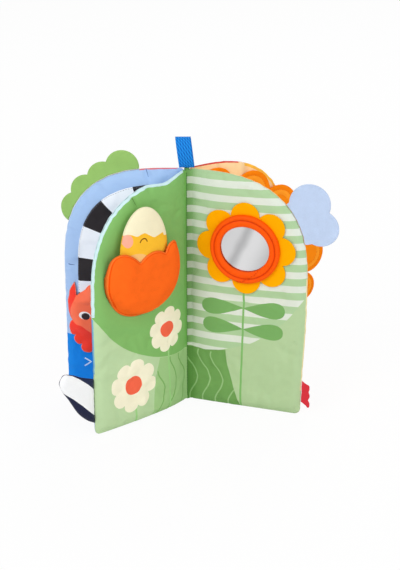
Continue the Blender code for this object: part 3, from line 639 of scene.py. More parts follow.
def net(outline, prints, step=STEP, rim=True):
    """Corners, triangles and colour numbers of a flat printed sheet."""
    lines = [anticlockwise(line) for line in [outline] + [p.outline for p in prints]]
    points = np.vstack(lines)
    near = kdtree.KDTree(len(points))
    for k, p in enumerate(points):
        near.insert((p[0], p[1], 0.0), k)
    near.balance()
    low, high = outline.min(0), outline.max(0)
    rows = np.arange(low[1], high[1], step * 0.866)
    grid = np.array([(u, v) for k, v in enumerate(rows)
                     for u in np.arange(low[0] + (k % 2) * step / 2, high[0], step)])
    grid = grid[inside(grid, outline)]
    away, _ = distance_to(grid, outline)
    grid = grid[away > (RIM_STEPS[-1] if rim else 0.0) + step * 0.6]
    turned_over = [r[inside(r, outline)] for r in rim_points(outline)] if rim else []
    extra = [p for p in np.vstack([*turned_over, grid]) if near.find((p[0], p[1], 0.0))[2] > CLEARANCE]
    corners, triangles = cut_along(lines, extra)
    flat = np.array([(p.x, p.y) for p in corners])
    triangles = [(triangle, max(source)) for triangle, source in triangles if 0 in source]
    used, kept = np.unique(np.array([t for t, _ in triangles]), return_inverse=True)
    return flat[used], kept.reshape(-1, 3), np.array([colour for _, colour in triangles])


def print_colours(which, ground, prints):
    """The colour of each triangle, from the ground's and the prints' colours."""
    return np.array([linear(ground)] + [linear(p.colour) for p in prints])[which]


def sheet_mesh(name, places, triangles, flat, colours):
    """A smooth mesh with a UV map in metres and a colour for each face."""
    mesh = bpy.data.meshes.new(name)
    mesh.from_pydata([tuple(p) for p in places], [], [tuple(int(n) for n in t) for t in triangles])
    loops = np.asarray(triangles).reshape(-1)
    drawn = mesh.uv_layers.new(name="page")
    drawn.data.foreach_set("uv", np.asarray(flat)[loops].reshape(-1))
    print_colour = mesh.color_attributes.new("print", "FLOAT_COLOR", "CORNER")
    rgba = np.repeat(np.column_stack([colours, np.ones(len(colours))]), 3, axis=0)
    print_colour.data.foreach_set("color", rgba.reshape(-1))
    mesh.shade_smooth()
    mesh.update()
    return mesh


def show(name, mesh, material):
    """Put a mesh in the scene as a piece with one material."""
    mesh.materials.append(material)
    return placed(name, mesh)


def thickened(piece, name, thickness, offset):
    """A wall on a single sheet, with Blender's Solidify."""
    wall = piece.modifiers.new(name, "SOLIDIFY")
    wall.thickness = thickness
    wall.offset = offset
    return piece


print("rows of points inside a seam:", len(RIM_STEPS))

# %% [markdown]
# Loose filling never fills a leaf evenly. Round the seam the gathered cloth
# makes short puckers, a few longer creases run in from the edge, and the middle
# is a little lumpy. Where a toy or a flower is sewn on, the cloth is held flat.

# %% Puckers, creases and lumps
PUCKER_PITCH = 0.0062
PUCKER_DEPTH = 0.00060
PUCKER_REACH = 0.0065
PUCKER_WANDER = 1.6
PUCKER_SWING = 0.047
LUMP = 0.00060
LUMP_SIZE = 0.052
CREASE_COUNT = 15
HELD_FADE = 0.006
NOISE_WAVES = 7


def smooth_noise(points, size, seed):
    """A soft random height between about -1 and 1 over the page."""
    picker = np.random.default_rng(seed)
    total = np.zeros(len(points))
    for _ in range(NOISE_WAVES):
        way = picker.uniform(0.0, math.tau)
        pitch = size * picker.uniform(0.7, 1.6)
        phase = picker.uniform(0.0, math.tau)
        along = points[:, 0] * math.cos(way) + points[:, 1] * math.sin(way)
        total += np.sin(along * math.tau / pitch + phase)
    return total / 3.2


def round_puckers(points, centre, count, away, reach):
    """Gathers round a padded piece that run in from its rim, between -1 and 1."""
    way = np.arctan2(points[:, 1] - centre[1], points[:, 0] - centre[0])
    return np.sin(way * count) * np.exp(-away / reach)


def held_flat(rise, points, held):
    """Folds that fade out where a piece is sewn on and holds the cloth."""
    for spot in held:
        away = np.hypot(points[:, 0] - spot.u, points[:, 1] - spot.v)
        rise = rise * share_of(away - spot.reach, HELD_FADE)
    return rise


def crease_height(points, start, way, length, width, depth):
    """One soft valley with low ridges beside it, fading along its length."""
    run = np.array([math.cos(way), math.sin(way)])
    rel = points - start
    along = rel @ run
    aside = rel @ np.array([-run[1], run[0]])
    fade = share_of(along, 0.003) * share_of(1.0 - along / length) ** 0.7
    spread = width * (1.0 + 1.3 * share_of(along, length))
    shape = np.exp(-(aside / spread) ** 2) - 0.55 * np.exp(-((np.abs(aside) - 1.7 * spread) / spread) ** 2)
    return -depth * fade * shape


def relief(leaf, side, points, held=(), creases=()):
    """How far the cloth stands off the even shape of the stuffed leaf."""
    seed = leaf.seed * 10 + (1 if side > 0 else 2)
    depth, along = distance_to(points, SEAM_LINE)
    wander = smooth_noise(points, 0.030, seed + 1)
    pucker = np.sin(along * math.tau / PUCKER_PITCH + PUCKER_WANDER * wander)
    swing = 0.55 + 0.45 * np.sin(along * math.tau / PUCKER_SWING + seed)
    rise = -PUCKER_DEPTH * swing * (0.5 + 0.5 * pucker) * np.exp(-depth / PUCKER_REACH)
    rise *= share_of(depth, 0.0012)
    rise += LUMP * share_of(depth, 0.012) * smooth_noise(points, LUMP_SIZE, seed + 2)
    picker = np.random.default_rng(seed)
    total = len(SEAM_LINE)
    for _ in range(CREASE_COUNT):
        k = int(picker.integers(0, total))
        run = SEAM_LINE[(k + 1) % total] - SEAM_LINE[k - 1]
        way = math.atan2(run[1], run[0]) + math.pi / 2 + picker.uniform(-0.5, 0.5)
        length, width = picker.uniform(0.012, 0.032), picker.uniform(0.0014, 0.0028)
        rise += crease_height(points, SEAM_LINE[k], way, length, width, picker.uniform(0.0002, 0.0006))
    for start, way, length, width, deep in creases:
        rise += crease_height(points, np.array(start), way, length, width, deep)
    return held_flat(rise, points, held)


print("creases on each page:", CREASE_COUNT)

# %% [markdown]
# The folds of two facing pages would run into each other, so an outward fold
# has a limit: nothing on the two hidden pages, a little on those in sight, and
# nothing where the egg toy slides. A soft limit leaves no edge in the cloth.

# %% Cloth of one page
ROOM = {("green_leaf", -1.0): 0.0, ("striped_leaf", 1.0): 0.0}
ROOM_IN_SIGHT = 0.0004
LIMIT_SOFTNESS = 0.0001
PRESSED = {"green_leaf": (0.057, 0.168, 0.036)}
PRESSED_FADE = 0.010
GUTTER_SHADE_REACH = 0.0065
THINNEST = 0.45


def cloth_folds(leaf, side, points, held=(), creases=()):
    """Puckers, creases, lumps and the stuffed bag's folds, kept off the next page."""
    folds = relief(leaf, side, points, held, creases) + settled(leaf, side, points, held)
    most = ROOM.get((leaf.body, side), ROOM_IN_SIGHT) * share_of(points[:, 0] - 0.012, 0.030)
    if side > 0 and leaf.body in PRESSED:
        u, v, reach = PRESSED[leaf.body]
        most *= share_of(np.hypot(points[:, 0] - u, points[:, 1] - v) - reach, PRESSED_FADE)
    return most - np.logaddexp(0.0, (most - folds) / LIMIT_SOFTNESS) * LIMIT_SOFTNESS


def crease_shadow_line(start, way, length, colour):
    """A painted shadow line down in a crease, where the cloth folds in on itself."""
    run = np.linspace(0.0, length, max(3, int(length / 0.0012)))
    line = np.array(start) + run[:, None] * np.array([math.cos(way), math.sin(way)])
    return Print(band(line, np.linspace(0.0009, 0.0003, len(line))), colour)


def page_heights(leaf, side, points, held=(), creases=()):
    """Height over the middle of the leaf for every corner of a page net."""
    u, v = points[:, 0], points[:, 1]
    depth, _ = distance_to(points, SEAM_LINE)
    half = leaf_half(u, v) - EDGE_HALF * share_of(1.0 - depth / 0.0006) * 0.9
    folds = cloth_folds(leaf, side, points, held, creases)
    return side * np.maximum(half + folds, THINNEST * half)


def rolled_edge(inset, colour, low=0.004, first=0.006, last=1.0, high=1.0):
    """A sliver of the other side's cloth that rolls over the seam."""
    rows = []
    for line in (page_outline(-0.001), page_outline(inset)):
        x, y = line[:, 0], line[:, 1]
        rows.append(line[(y > low) & (y < high) & (x > first) & (x < last) & ((x > 0.08) | (y > 0.15))])
    return Print(spaced(np.vstack([rows[0], rows[1][::-1]])), colour)


def painted_spine_shade(colours, middles, gutter_shade):
    """Print colours darkened by painted shade towards the spine, mostly in the upper part."""
    strength = np.where(middles[:, 1] > 0.050, gutter_shade, gutter_shade * 0.3)
    return colours ** (1.0 + strength * np.exp(-(middles[:, 0] / GUTTER_SHADE_REACH) ** 2))[:, None]


def page_cloth(name, leaf, side, ground, prints, held=(), creases=(), gutter_shade=0.3):
    """The printed cotton of one side of a leaf."""
    points, triangles, which = net(SEAM_LINE, prints)
    w = page_heights(leaf, side, points, held, creases)
    places = to_world(leaf, points[:, 0], w, points[:, 1])
    if side > 0:
        triangles = triangles[:, ::-1]
    # Painted shade: the print colours darken towards the spine, as strongly as the gutter strength says.
    colours = painted_spine_shade(print_colours(which, ground, prints), points[triangles].mean(1), gutter_shade)
    mesh = sheet_mesh(name, places, triangles, points, colours)
    print(name, len(points), "corners,", len(triangles), "triangles")
    return thickened(show(name, mesh, PRINTED), "cloth", CLOTH, -1.0)


print("a page's cloth is", CLOTH * 1000, "mm thick")

# %% [markdown]
# Real filling pushes the cloth out until the seams hold it back, and the cloth
# that is left over gathers in soft folds. Blender's Cloth with air pressure does
# the same: every leaf is a flat bag with its seam held, whose cloth is cut a
# little too large. Only the folds are kept from it, because the even swell of a
# leaf already comes from its solid.

# %% Stuffing the four leaves
BAG_STEP = 0.0034
BAG_PRESSURE = 4.0
BAG_FRAMES = 20
SPARE_CLOTH = 0.045
FOLD_LIMIT = 0.0011
FOLD_SHARE = 0.6
JITTER = 0.00012
CELL = 0.002
BLUR_CELLS = 5
CELLS_ACROSS, CELLS_UP = int(PAGE_WIDTH / CELL) + 1, int(PAGE_HEIGHT / CELL) + 1
folds_of = {}


def bag_mesh(name):
    """Two sheets that share one seam, with the front sheet's and the back's corners."""
    points, triangles, _ = net(SEAM_LINE, [], BAG_STEP, rim=False)
    away, _ = distance_to(points, SEAM_LINE)
    inner = np.where(away > 1e-6)[0]
    back_of = np.arange(len(points))
    back_of[inner] = len(points) + np.arange(len(inner))
    half = leaf_half(points[:, 0], points[:, 1]) * 0.5 * share_of(away, 0.004)
    front = np.column_stack([points, half])
    back = np.column_stack([points[inner], -half[inner]])
    faces = np.vstack([triangles, back_of[triangles][:, ::-1]])
    mesh = bpy.data.meshes.new(name)
    mesh.from_pydata(np.vstack([front, back]).tolist(), [], faces.tolist())
    mesh.update()
    return mesh, np.where(away <= 1e-6)[0]


def blurred(values, known):
    """A moving average over the page's grid, twice, that leaves out what is off the page."""
    cells = range(-BLUR_CELLS, BLUR_CELLS + 1)
    for axis in (0, 1, 0, 1):
        top = sum(np.roll(values * known, k, axis) for k in cells)
        count = sum(np.roll(known, k, axis) for k in cells)
        values = np.where(known > 0, top / np.maximum(count, 1e-9), 0.0)
    return values


def stuff(leaf):
    """Blow one bag up and keep the folds of its front and back as grids."""
    mesh, seam = bag_mesh("bag")
    bag = placed("bag", mesh)
    held = bag.vertex_groups.new(name="seam")
    held.add([int(n) for n in seam], 1.0, "REPLACE")
    jitter = np.random.default_rng(leaf.seed).uniform(-JITTER, JITTER, len(mesh.vertices))
    for corner, push in zip(mesh.vertices, jitter):
        corner.co.z += push
    cloth = bag.modifiers.new("cloth", "CLOTH")
    settings = cloth.settings
    settings.quality = 6
    settings.mass = 0.15
    settings.vertex_group_mass = "seam"
    settings.use_pressure = True
    settings.uniform_pressure_force = BAG_PRESSURE
    settings.shrink_min = -SPARE_CLOTH
    settings.tension_stiffness = settings.compression_stiffness = 12.0
    settings.shear_stiffness = 4.0
    settings.bending_stiffness = 0.15
    settings.effector_weights.gravity = 0.0
    cloth.collision_settings.use_collision = False
    scene = bpy.context.scene
    for number in range(1, BAG_FRAMES + 1):
        scene.frame_set(number)
    done = bag.evaluated_get(bpy.context.evaluated_depsgraph_get()).to_mesh()
    corners = np.array([tuple(c.co) for c in done.vertices])
    faces = [tuple(f.vertices) for f in done.polygons]
    hit = BVHTree.FromPolygons([tuple(c) for c in corners], faces)
    for side in (1.0, -1.0):
        grid = np.zeros((CELLS_ACROSS, CELLS_UP))
        known = np.zeros_like(grid)
        for i in range(CELLS_ACROSS):
            for j in range(CELLS_UP):
                found = hit.ray_cast(Vector((i * CELL, j * CELL, side)), Vector((0.0, 0.0, -side)))[0]
                if found:
                    grid[i, j], known[i, j] = side * found.z, 1.0
        folds = (grid - blurred(grid, known)) * known
        folds_of[leaf.body, side] = np.clip(folds * FOLD_SHARE, -FOLD_LIMIT, FOLD_LIMIT)
        most = [round(float(x), 4) for x in (grid.max(), np.abs(folds).max())]
        print(leaf.body, int(side), "swell and folds", most)
    bpy.data.objects.remove(bag)
    scene.frame_set(1)


def settled(leaf, side, points, held):
    """Height of the stuffed bag's folds at points of the page."""
    if (leaf.body, side) not in folds_of:
        return 0.0
    grid = folds_of[leaf.body, side]
    x = np.clip(points[:, 0] / CELL, 0, CELLS_ACROSS - 1.001)
    y = np.clip(points[:, 1] / CELL, 0, CELLS_UP - 1.001)
    i, j = x.astype(int), y.astype(int)
    a, b = x - i, y - j
    rise = (grid[i, j] * (1 - a) * (1 - b) + grid[i + 1, j] * a * (1 - b)
            + grid[i, j + 1] * (1 - a) * b + grid[i + 1, j + 1] * a * b)
    depth, _ = distance_to(points, SEAM_LINE)
    return held_flat(rise * share_of(depth, 0.003), points, held)


for leaf in (STRIPED, GREEN, LEFT, RIGHT):
    stuff(leaf)
print("bags stuffed:", len(folds_of) // 2)

# %% [markdown]
# Felt and padded shapes are cut from outlines that are joined from circles, the
# way a pattern maker draws them with a compass. The cut shape gets an upper and
# a lower face that meet in one rim, so every piece is a closed body.

# %% Cut shapes with two faces
def joined(kept, cut=(), step=STEP):
    """The outer line of several outlines together, less the cut ones."""
    corners, triangles = cut_along([anticlockwise(np.asarray(line)) for line in [*kept, *cut]])
    sides = {}
    for triangle, source in triangles:
        if any(n < len(kept) for n in source) and not any(n >= len(kept) for n in source):
            for a, b in zip(triangle, triangle[1:] + triangle[:1]):
                if (b, a) in sides:
                    del sides[(b, a)]
                else:
                    sides[(a, b)] = True
    after = dict(sides.keys())
    first = min(after, key=lambda n: (corners[n].x, corners[n].y))
    path, here = [tuple(corners[first])], after[first]
    while here != first:
        path.append(tuple(corners[here]))
        here = after[here]
    thin = [path[0]]
    for p in path[1:]:
        if math.dist(p, thin[-1]) > 0.0003:
            thin.append(p)
    return spaced(thin, step)


def drawn_from(shares, corner, width, height, closed=True, corners=(), parts=8):
    """A smooth line through points that are given as shares of a width and a height."""
    points = [(corner[0] + width * a, corner[1] + height * b) for a, b in shares]
    return curved(points, closed, corners, parts)


def slab(name, leaf, outline, low, high, material, colour=(255, 255, 255), prints=(),
         step=STEP, place=to_world):
    """A closed body between two height functions over a cut shape."""
    points, triangles, which = net(outline, prints, step)
    away, _ = distance_to(points, outline)
    rim = away < 1e-6
    inner = np.where(~rim)[0]
    upper, lower = (np.zeros(len(points)) + face(points, away) for face in (high, low))
    top = np.where(rim, (upper + lower) / 2.0, upper)
    mirror_of = np.arange(len(points))
    mirror_of[inner] = len(points) + np.arange(len(inner))
    u = np.concatenate([points[:, 0], points[inner, 0]])
    v = np.concatenate([points[:, 1], points[inner, 1]])
    w = np.concatenate([top, lower[inner]])
    faces = np.vstack([triangles[:, ::-1], mirror_of[triangles]])
    colours = print_colours(np.tile(which, 2), colour, prints)
    mesh = sheet_mesh(name, place(leaf, u, w, v), faces, np.column_stack([u, v]), colours)
    print(name, len(mesh.polygons), "faces")
    return show(name, reshaped(mesh, outward), material)


def outward(shape):
    """Point the faces of a closed body outwards."""
    bmesh.ops.recalc_face_normals(shape, faces=shape.faces)
    if shape.calc_volume(signed=True) < 0.0:
        bmesh.ops.reverse_faces(shape, faces=shape.faces)


def felt_faces(side, thickness, wave, edge=0.0004):
    """Height functions of a cut shape that lies on a page."""
    def low(points, away):
        return side * (spine_taper(points[:, 0]) + GAP + wave(points))

    def high(points, away):
        return low(points, away) + side * thickness * (0.35 + 0.65 * shoulder(away, edge))

    return low, high


SEAM_LEVEL = 0.00005


def seam_face(side):
    """The flat face of a stuffed half, at the seam where two halves meet."""
    return lambda points, away: side * SEAM_LEVEL


print("points are joined along lines about", STEP * 1000, "mm apart")

# %% [markdown]
# The left page of the middle spread is grass green down to a long arc and pale
# green below it, with a bank, a few blades of grass and two daisies on stems.

# %% Green page
GRASS = (131, 187, 104)
PALE_GREEN = (190, 217, 168)
BANK_GREEN = (164, 203, 138)
BLADE_GREEN, BLADE_WIDTH = (126, 178, 98), 0.0011
STEM_GREEN, STEM_WIDTH = (160, 212, 136), 0.0016
PETAL_CREAM, PETAL_SHARE = (252, 246, 218), 0.62
CORAL, CORAL_SHARE = (250, 104, 72), 0.36
ROUND_END = 1.62


def leaf_shape(start, end, width):
    """A leaf or petal between two points, widest and rounded towards its far end."""
    start, end = np.array(start), np.array(end)
    run = end - start
    length = np.linalg.norm(run)
    run = run / length
    across = np.array([-run[1], run[0]])
    t = 1.0 - np.linspace(1.0, 0.0, 24) ** 1.5
    swell = t**0.9 * np.sqrt(1.0 - t**3.2) * ROUND_END * width / 2
    upper = start + np.outer(t * length, run) + np.outer(swell, across)
    lower = start + np.outer(t * length, run) - np.outer(swell, across)
    return np.vstack([lower, upper[::-1][1:-1]])


def daisy(centre, radius, petals, turn):
    """A front-on daisy: cream petals round a coral middle."""
    drawn = []
    for k in range(petals):
        way = turn + math.tau * k / petals
        tip = (centre[0] + radius * math.cos(way), centre[1] + radius * math.sin(way))
        drawn.append(Print(leaf_shape(centre, tip, radius * PETAL_SHARE), PETAL_CREAM))
    drawn.append(Print(disc(*centre, radius * CORAL_SHARE), CORAL))
    return drawn


def below(line, floor=-0.01):
    """Everything under a line that runs across the page."""
    return np.vstack([line, [[line[-1][0], floor], [line[0][0], floor]]])


ARC_LINE = np.array([
    (0.112, 0.118), (0.101, 0.1018), (0.0930, 0.0905), (0.0854, 0.0808), (0.0760, 0.0715),
    (0.0658, 0.0641), (0.0540, 0.0578), (0.0409, 0.0523), (0.0270, 0.0490), (0.0132, 0.0475), (-0.01, 0.0470),
])
BANK = [(-0.006, -0.006), (0.0440, -0.006), (0.0438, 0.0025), (0.0430, 0.0217), (0.0417, 0.0357),
        (0.0390, 0.0445), (0.0376, 0.0508), (0.0270, 0.0486), (0.0132, 0.0472), (-0.006, 0.0467)]
BLADES = (
    [(0.0152, 0.0470), (0.0150, 0.0423), (0.0078, 0.0318), (0.0062, 0.0250), (0.0085, 0.0105),
     (0.0108, -0.0040)],
    [(0.0265, 0.0480), (0.0258, 0.0435), (0.0205, 0.0335), (0.0185, 0.0225), (0.0205, 0.0133),
     (0.0245, 0.0077), (0.0320, -0.0040)],
    [(0.0400, 0.0395), (0.0385, 0.0345), (0.0343, 0.0279), (0.0322, 0.0213), (0.0335, 0.0126),
     (0.0370, 0.0057), (0.0430, -0.0040)],
)
DAISIES = (((0.0290, 0.0730), 0.0190, 0.0245), ((0.0640, 0.0340), 0.0225, 0.0600))
green_prints = [Print(spaced(below(curved(ARC_LINE, False))), PALE_GREEN), Print(spaced(BANK), BANK_GREEN)]
for blade in BLADES:
    green_prints.append(Print(band(curved(blade, False, parts=6), BLADE_WIDTH), BLADE_GREEN))
for centre, radius, stem_foot in DAISIES:
    stem = curved([(stem_foot, -0.005), (stem_foot + 0.003, centre[1] * 0.5), centre], False, parts=14)
    green_prints.append(Print(band(stem, STEM_WIDTH), STEM_GREEN))
    green_prints += daisy(centre, radius, 8, 0.2)
green_prints.append(rolled_edge(0.0017, (206, 236, 238), low=0.1008))
green_prints.append(rolled_edge(0.0006, (120, 178, 204), low=0.052, high=0.1008))
# A painted shadow line in the fold near the head of the page.
green_prints.append(crease_shadow_line((0.0606, 0.1898), -2.0, 0.008, (96, 140, 74)))
EGG_SPOT = Held(0.057, 0.146, 0.030)
TULIP_SPOT = Held(0.055, 0.122, 0.036)
green_page = page_cloth(
    "green_page_cloth", GREEN, 1.0, GRASS, green_prints, held=(EGG_SPOT, TULIP_SPOT),
    creases=(((0.046, 0.1975), -1.85, 0.030, 0.0026, 0.0016), ((0.0618, 0.1925), -2.0, 0.018, 0.0020, 0.0034),
             ((0.099, 0.075), 2.9, 0.022, 0.0022, 0.0007), ((0.010, 0.170), -0.5, 0.030, 0.003, 0.0008)),
    gutter_shade=0.1,
)

# %% [markdown]
# The right page has white and green stripes down to the same arc, then a pale
# hill, a dark slope with light waves, and the flower's stem and leaves.

# %% Striped page
STRIPE_GREEN = (172, 203, 156)
STRIPE_WHITE = (219, 226, 213)
STRIPE_COUNT, STRIPE_PITCH, STRIPE_SHARE, STRIPE_TOP, STRIPE_CLIMB = 13, 0.01185, 0.48, 0.1935, 0.0022
HILL_GREEN, SLOPE_GREEN = (178, 204, 156), (112, 160, 86)
WAVE_GREEN, WAVE_WIDTH = (152, 192, 128), 0.0012
LEAF_GREEN, LEAF_WIDTH = (118, 170, 96), 0.0140
FLOWER_STEM_GREEN, FLOWER_STEM_WIDTH = (128, 184, 106), 0.0017
stripe_prints = []
across = np.linspace(-0.005, 0.115, 30)
climb = STRIPE_CLIMB * (across / 0.09) ** 2
for k in range(STRIPE_COUNT):
    high = STRIPE_TOP - k * STRIPE_PITCH
    upper = np.column_stack([across, high + climb])
    lower = np.column_stack([across, high + climb - STRIPE_SHARE * STRIPE_PITCH])
    stripe_prints.append(Print(spaced(np.vstack([lower, upper[::-1]])), STRIPE_WHITE))
HILL_LINE = np.array([
    (0.112, 0.122), (0.0998, 0.1039), (0.0930, 0.0940), (0.0850, 0.0830), (0.0740, 0.0722),
    (0.0630, 0.0634), (0.0537, 0.0577), (0.0377, 0.0519), (0.0180, 0.0474), (-0.006, 0.0500),
])
SLOPE = [(-0.006, -0.006), (0.0500, -0.006), (0.0455, 0.008), (0.0400, 0.025), (0.0360, 0.038),
         (0.0345, 0.0500), (0.0250, 0.0488), (0.0150, 0.0472), (-0.006, 0.0490)]
WAVE = [(0.0, 0.0465), (-0.0004, 0.0422), (0.0030, 0.0357), (0.0081, 0.0294), (0.0107, 0.0239),
        (0.0110, 0.0207), (0.0093, 0.0152), (0.0059, 0.0094), (0.0040, 0.0046), (0.0038, -0.0020)]
WAVE_STARTS = ((-0.0015, 0), (0.0102, 0), (0.0219, 0), (0.0336, 6))
LEAF_PAIRS = (((0.0487, 0.0884), (0.0134, 0.0868), (0.0834, 0.0896)),
              ((0.0487, 0.0702), (0.0145, 0.0712), (0.0826, 0.0710)))
stripe_prints.append(Print(spaced(below(curved(HILL_LINE, False))), HILL_GREEN))
stripe_prints.append(Print(spaced(SLOPE), SLOPE_GREEN))
for start, first in WAVE_STARTS:
    line = curved([(start + u, v) for u, v in WAVE[first:]], False, parts=6)
    stripe_prints.append(Print(band(line, WAVE_WIDTH), WAVE_GREEN))
stem = spaced([(0.0487, -0.005), (0.0487, 0.060), (0.0490, 0.110)], closed=False)
for root, *tips in LEAF_PAIRS:
    stripe_prints += [Print(leaf_shape(root, tip, LEAF_WIDTH), LEAF_GREEN) for tip in tips]
stripe_prints.append(Print(band(stem, FLOWER_STEM_WIDTH), FLOWER_STEM_GREEN))
stripe_prints.append(rolled_edge(0.0006, (240, 226, 172), low=0.020, first=0.055, high=0.120))
FLOWER = Vector((PAGE_WIDTH * 0.503, PAGE_HEIGHT * 0.700))
FLOWER_SPOT = Held(FLOWER.x, FLOWER.y, 0.040)
striped_page = page_cloth(
    "striped_page_cloth", STRIPED, -1.0, STRIPE_GREEN, stripe_prints, held=(FLOWER_SPOT,),
    creases=(((0.030, 0.199), -1.5, 0.020, 0.0016, 0.0006), ((0.004, 0.015), 0.3, 0.030, 0.0026, 0.0007),
             ((0.004, 0.090), 0.1, 0.022, 0.0024, 0.0006)),
    gutter_shade=0.95,
)

# %% [markdown]
# The mirror flower is what a baby sees first: eight petals cut from one piece
# of golden felt, a soft mirror, and a padded satin ring sewn round it. The ring
# has two ridges with a stitched groove between them, and its covering overlaps
# itself on a slant at the foot.

# %% Petals
PETAL_COUNT = 8
PETAL_TURN = 0.03
FLOWER_HALF_WIDTH = 0.0410
FLOWER_HALF_HEIGHT = 0.0380
PETAL_RADIUS = 0.0118
PETAL_FELT = 0.0010
PETAL_LIFT, LIFT_START = 0.0009, 0.028
RING_OUTER = 0.0285
RING_INNER = 0.0200
RING_HEIGHT = 0.0040
MIRROR_LAP = 0.0014
MIRROR_FILM = 0.0005

GOLD_FELT = felt_finish("golden_felt_look", (255, 172, 0), 0.22, 1500.0, 0.95, 0.5, 0.0003)
rounds = [disc(FLOWER.x, FLOWER.y, RING_OUTER)]
for k in range(PETAL_COUNT):
    way = math.tau * (k + PETAL_TURN) / PETAL_COUNT
    middle_u = FLOWER.x + (FLOWER_HALF_WIDTH - PETAL_RADIUS) * math.cos(way)
    middle_v = FLOWER.y + (FLOWER_HALF_HEIGHT - PETAL_RADIUS) * math.sin(way)
    rounds.append(disc(middle_u, middle_v, PETAL_RADIUS, sides=60))
petal_line = joined(rounds, step=0.0012)


def petal_lift(points):
    """Free petal tips stand a little off the page."""
    away = np.hypot(points[:, 0] - FLOWER.x, points[:, 1] - FLOWER.y)
    way = np.arctan2(points[:, 1] - FLOWER.y, points[:, 0] - FLOWER.x)
    return PETAL_LIFT * share_of(away - LIFT_START, 0.011) ** 1.5 * (0.6 + 0.4 * np.sin(way * 3.0 + 1.0))


low, high = felt_faces(-1.0, PETAL_FELT, petal_lift)
petals = slab("flower_petals_felt", STRIPED, petal_line, low, high, GOLD_FELT)

# %% [markdown]
# The mirror is a soft metallised film that shows the room only as broad bands
# of grey. They are a painted reflection: a colour ramp across the film, bent a
# little by noise, draws them on a metal surface, so that it still takes the lamps' gloss.

# %% Mirror
MIRROR_SPAN = 0.040
MIRROR_SLANT = 25.0
PAINTED_REFLECTION_GREYS = ((0.0, 206), (0.22, 216), (0.30, 202), (0.38, 172), (0.47, 200), (0.55, 228), (0.78, 216),
                (1.0, 186))


def mirror_look():
    """A soft mirror film: a painted reflection of grey bands on bright metal, a little blurred by its waves.
    """
    made, tree, shader = new_look("soft_mirror_look", Metallic=1.0, Roughness=0.16)
    where = tree.nodes.new("ShaderNodeTexCoord").outputs["UV"]
    middle = {"Vector": where, "Location": (-FLOWER.x, -FLOWER.y, 0.0)}
    turned = new_node(tree, "ShaderNodeMapping", middle).outputs[0]
    slant = {"Vector": turned, "Rotation": (0.0, 0.0, math.radians(MIRROR_SLANT))}
    slant = new_node(tree, "ShaderNodeMapping", slant).outputs[0]
    parts = new_node(tree, "ShaderNodeSeparateXYZ", {0: slant}).outputs
    drift = noise(tree, turned, Scale=70.0)
    across = maths(tree, "MULTIPLY_ADD", parts[0], 1.0 / MIRROR_SPAN, 0.5)
    across = maths(tree, "ADD", across, maths(tree, "MULTIPLY_ADD", drift, 0.10, -0.05))
    ramp = new_node(tree, "ShaderNodeValToRGB", {"Fac": across})
    ramp.color_ramp.interpolation = "B_SPLINE"
    while len(ramp.color_ramp.elements) < len(PAINTED_REFLECTION_GREYS):
        ramp.color_ramp.elements.new(0.5)
    for stop, (position, grey) in zip(ramp.color_ramp.elements, PAINTED_REFLECTION_GREYS):
        stop.position = position
        stop.color = (*linear((grey, grey, grey + 1)), 1.0)
    feed(tree, shader, {"Base Color": ramp.outputs["Color"]})
    return made


RING_LEVEL = LEAF_HALF + GAP + PETAL_FELT + GAP
MIRROR_RIPPLE = 0.00006
mirror_line = disc(FLOWER.x, FLOWER.y, RING_INNER + MIRROR_LAP)


def mirror_low(points, away):
    return -RING_LEVEL


def mirror_high(points, away):
    ripple = MIRROR_RIPPLE * smooth_noise(points, 0.016, 5) * share_of(away, 0.004)
    return -RING_LEVEL - MIRROR_FILM - ripple


mirror = slab("soft_mirror", STRIPED, mirror_line, mirror_low, mirror_high, mirror_look())

# %% [markdown]
# The ring is padding in a satin sleeve. Its section is one closed profile that
# is turned round the mirror, with small gathers at the stitched groove and a
# step where the sleeve's free end laps over.

# %% Padded ring
RING_STEPS = 160
SATIN_ORANGE = woven_finish("orange_satin_look", None, SATIN_THREADS, 0.16, 0.5, 0.25, shine=0.10)
ring_shares = [
    (0.0, 0.40), (0.012, 0.56), (0.05, 0.72), (0.12, 0.86), (0.22, 0.92), (0.32, 0.93), (0.42, 0.90),
    (0.50, 0.83), (0.545, 0.74), (0.57, 0.69), (0.60, 0.76), (0.65, 0.88), (0.71, 0.96), (0.78, 1.0),
    (0.87, 0.94), (0.94, 0.78), (0.985, 0.55), (1.0, 0.30), (0.99, 0.12), (0.96, 0.0),
]
GROOVE_SHARE = 0.57
# The second, darker orange is painted shade: in the stitched groove, which is also a real dip, and just
# before the lapped end.
RING_ORANGE, GROOVE_SHADE_ORANGE = (249, 88, 0), (214, 62, 0)
INNER_DROP = 0.0013
ring_foot = [(RING_INNER + MIRROR_LAP + GAP, 0.0), (RING_INNER + MIRROR_LAP + GAP, MIRROR_FILM + GAP),
             (RING_INNER + CLOTH, MIRROR_FILM + GAP)]
ring_profile = [(RING_INNER + (RING_OUTER - RING_INNER) * a, RING_HEIGHT * b) for a, b in ring_shares]
ring_profile += ring_foot
LAP_TURN = math.radians(-78.0)
LAP_SLANT = math.radians(26.0)
LAP_DENT, LAP_LIFT, LAP_SHADOW = (-0.0006, 0.035), (0.0007, 0.30), -0.035
RING_GATHERS, GATHER_HEIGHT = 36, 0.00012


def past_lap(way, share):
    """Angle past the covering's free end, which crosses the ring on a slant."""
    ahead = (way - LAP_TURN + math.pi) % math.tau - math.pi
    return ahead - LAP_SLANT * (0.5 - share) * 2.0


def ring_lap(way, share):
    """Lift of the free end over the covering below it, with a dent before it."""
    past = past_lap(way, share)
    rise, reach = LAP_DENT if past < 0.0 else LAP_LIFT
    return rise * math.exp(-(past / reach) ** 2)


